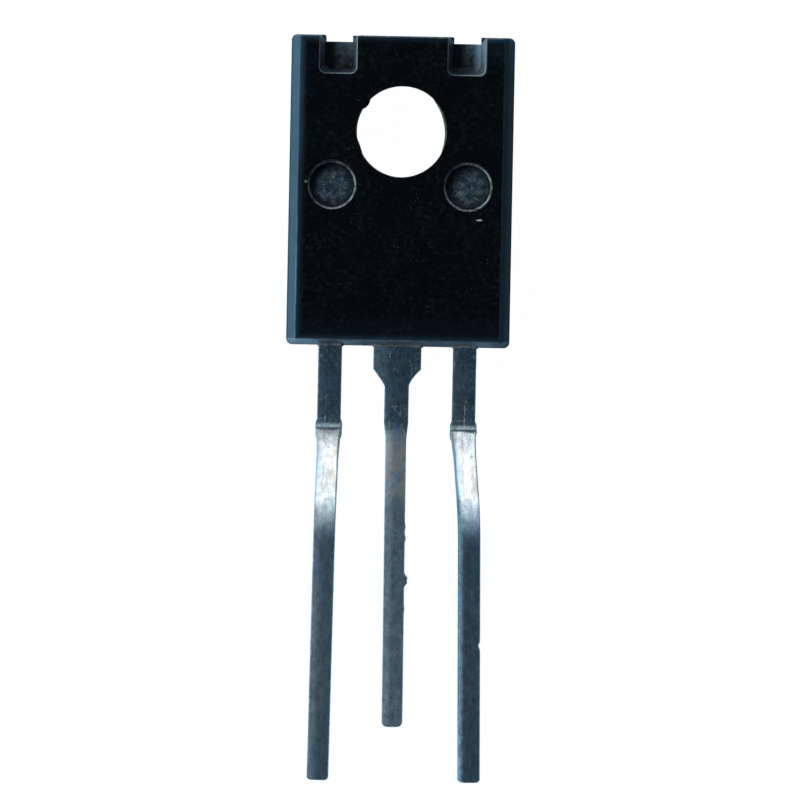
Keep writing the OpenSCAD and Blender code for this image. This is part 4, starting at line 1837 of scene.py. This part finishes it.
@dataclass
class Studio:
    """Floor, sky, lamps and camera.

    Attributes:
        size: The package's sizes.
        floor_half: Half the floor's width, in metres.
        floor_gap: How far the floor lies below the object, in metres.
        floor_white: Share of plain white in the floor as the camera sees it.
        floor_in_metal: Share of plain white in the floor as shiny surfaces mirror it.
        paper: Colour of the floor as a diffuse surface.
        camera_distance: Distance of the camera, in millimetres.
        camera_turns: How far the camera is tilted, yawed and rolled, in degrees.
        view_width: Width of the view at the front face, in millimetres.
        sensor: Width of the camera's sensor, in millimetres.
        look_at: Place on the front face at the middle of the view, in millimetres.
        sky: Colours of the sky by height, from the horizon to overhead.
        window: Colour of the light beyond the hole end.
        window_edge: Colour added round it.
        left_glow: Colour of the light on the left.
    """

    size: Package = PACKAGE
    floor_half: float = 1.5
    floor_gap: float = 0.00001
    floor_white: float = 0.99
    floor_in_metal: float = 0.03
    paper: Colour = (0.29, 0.62, 0.83)
    camera_distance: float = 400.0
    camera_turns: Point = (1.05, -0.9, -1.14)
    view_width: float = 27.1278
    sensor: float = 36.0
    look_at: Flat = (0.14, -9.10)
    sky: tuple[tuple[float, Colour], ...] = (
        (0.0, (0.07, 0.10, 0.13)), (0.50, (0.06, 0.12, 0.17)), (0.88, (0.034, 0.066, 0.096)),
        (1.0, (0.021, 0.043, 0.070)))
    window: Colour = (2.04, 1.96, 1.89)
    window_edge: Colour = (0.07, 0.30, 0.47)
    left_glow: Colour = (0.12, 0.23, 0.36)

    def floor(self) -> None:
        """A floor that the camera sees as white, and that lights the object as pale blue paper does."""
        shape = bmesh.new()
        bmesh.ops.create_grid(shape, x_segments=2, y_segments=2, size=self.floor_half)
        bmesh.ops.translate(shape, verts=shape.verts, vec=(0.0, 0.0, -self.floor_gap))
        ground = object_from("floor", shape)
        material = bpy.data.materials.new("floor_paper")
        material.use_nodes = True
        g = Graph(material.node_tree)
        camera, glossy, through = g.rays("Is Camera Ray", "Is Glossy Ray", "Is Transmission Ray")
        shown = (camera.most(through) * self.floor_white).most(glossy * self.floor_in_metal)
        paper = g.node("ShaderNodeBsdfDiffuse", {}, {"Color": (*self.paper, 1.0)})
        white = g.node("ShaderNodeEmission", {}, {"Color": (1.0, 1.0, 1.0, 1.0), "Strength": 1.0})
        mixed = g.node("ShaderNodeMixShader", {}, {0: shown, 1: paper.outputs[0], 2: white.outputs[0]})
        g.node("ShaderNodeOutputMaterial", {}, {"Surface": mixed.outputs[0]})
        ground.data.materials.append(material)

    def world(self) -> None:
        """A sky pale beyond the hole end, blue on the left, dark overhead, white behind the object."""
        world = bpy.data.worlds.new("studio")
        world.use_nodes = True
        bpy.context.scene.world = world
        g = Graph(world.node_tree)
        x, y, z = g.parts(g.node("ShaderNodeTexCoord").outputs["Generated"])
        ramp_of_sky = g.node("ShaderNodeValToRGB", {"stops": self.sky}, {0: z})
        ahead, leftward = y.most(0.0), (-x).most(0.0) ** 1.2
        edge = g.vector("SCALE", self.window_edge, ahead ** 1.2 * (1.0 - ahead ** 8.0))
        glow = g.vector("ADD", g.vector("SCALE", self.window, ahead ** 3.0), edge)
        glow = g.vector("ADD", glow, g.vector("SCALE", self.left_glow, leftward))
        glow = g.vector("ADD", ramp_of_sky.outputs[0], glow)
        soft = g.node("ShaderNodeBackground", {}, {"Color": glow, "Strength": 1.0})
        white = g.node("ShaderNodeBackground", {}, {"Color": (1.0, 1.0, 1.0, 1.0), "Strength": 1.0})
        camera, through = g.rays("Is Camera Ray", "Is Transmission Ray")
        mixed = g.node("ShaderNodeMixShader", {}, {
            0: camera.most(through), 1: soft.outputs[0], 2: white.outputs[0]})
        g.node("ShaderNodeOutputWorld", {}, {"Surface": mixed.outputs[0]})

    def lamps(self, target: Vector) -> None:
        """The softboxes: a low one beyond the hole end, and one high on the left."""
        for lamp in (
            Softbox("far_softbox", azimuth=86.0, elevation=16.0, distance=0.32, width=0.42, height=0.13,
                    radiance=0.40, colour=(0.97, 0.99, 1.0)),
            Softbox("left_softbox", azimuth=190.0, elevation=42.0, distance=0.40, width=0.24, height=0.16,
                    radiance=14.0, colour=(0.90, 0.97, 1.0), mirrored=False),
        ):
            lamp.build(target)

    def camera(self) -> None:
        """A long lens that looks down on the front of the lying part."""
        tilt, yaw, roll = (math.radians(a) for a in self.camera_turns)
        turn = Matrix.Rotation(roll, 4, "Z") @ Matrix.Rotation(yaw, 4, "Y") @ Matrix.Rotation(tilt, 4, "X")
        aim = Vector((*self.look_at, self.size.thickness)) * MM
        data = bpy.data.cameras.new("camera")
        data.sensor_width = self.sensor
        data.lens = self.camera_distance / self.view_width * self.sensor
        data.clip_start, data.clip_end = 0.01, 10.0
        made = bpy.data.objects.new("camera", data)
        made.matrix_world = (Matrix.Translation(aim) @ turn.transposed()
                             @ Matrix.Translation((0.0, 0.0, self.camera_distance * MM)))
        bpy.context.scene.collection.objects.link(made)
        bpy.context.scene.camera = made

    def build(self) -> None:
        """Sets up the studio."""
        self.floor()
        self.world()
        low, high = cad_box
        self.lamps(Vector(((low.x + high.x) / 2, (low.y + high.y) / 2, low.z)))
        self.camera()
        bpy.context.scene.view_settings.view_transform = "Standard"
        log.info("studio ready")


# ---- the whole part -----------------------------------------------------


def main() -> None:
    """Builds the dressed transistor and its studio."""
    logging.basicConfig(level=logging.INFO, format="%(name)s: %(message)s")
    epoxy = EpoxyFinish().build(PACKAGE)
    MouldedCase().build(epoxy)
    MouldFlash().build(epoxy)
    bend = StripBend()
    collector = TinFinish("collector_tin", aged=1.0, phase=3.0)
    CollectorFrame().build(bend, collector.build(), SpreaderFinish().build())
    emitter = TinFinish("emitter_tin", aged=0.35, phase=11.0)
    OuterLead(name="emitter_lead_metal", stands_for="emitter_lead", side=-1, splay=-0.5).build(
        bend, emitter.build())
    base = TinFinish("base_tin", aged=0.1, ease=0.05, phase=23.0)
    OuterLead(name="base_lead_metal", stands_for="base_lead", side=1, splay=0.95, twist=6.0, nick=10.74,
              rounding=0.10).build(bend, base.build())
    InnerParts().dress()
    Studio().build()


if __name__ == "__main__":
    main()
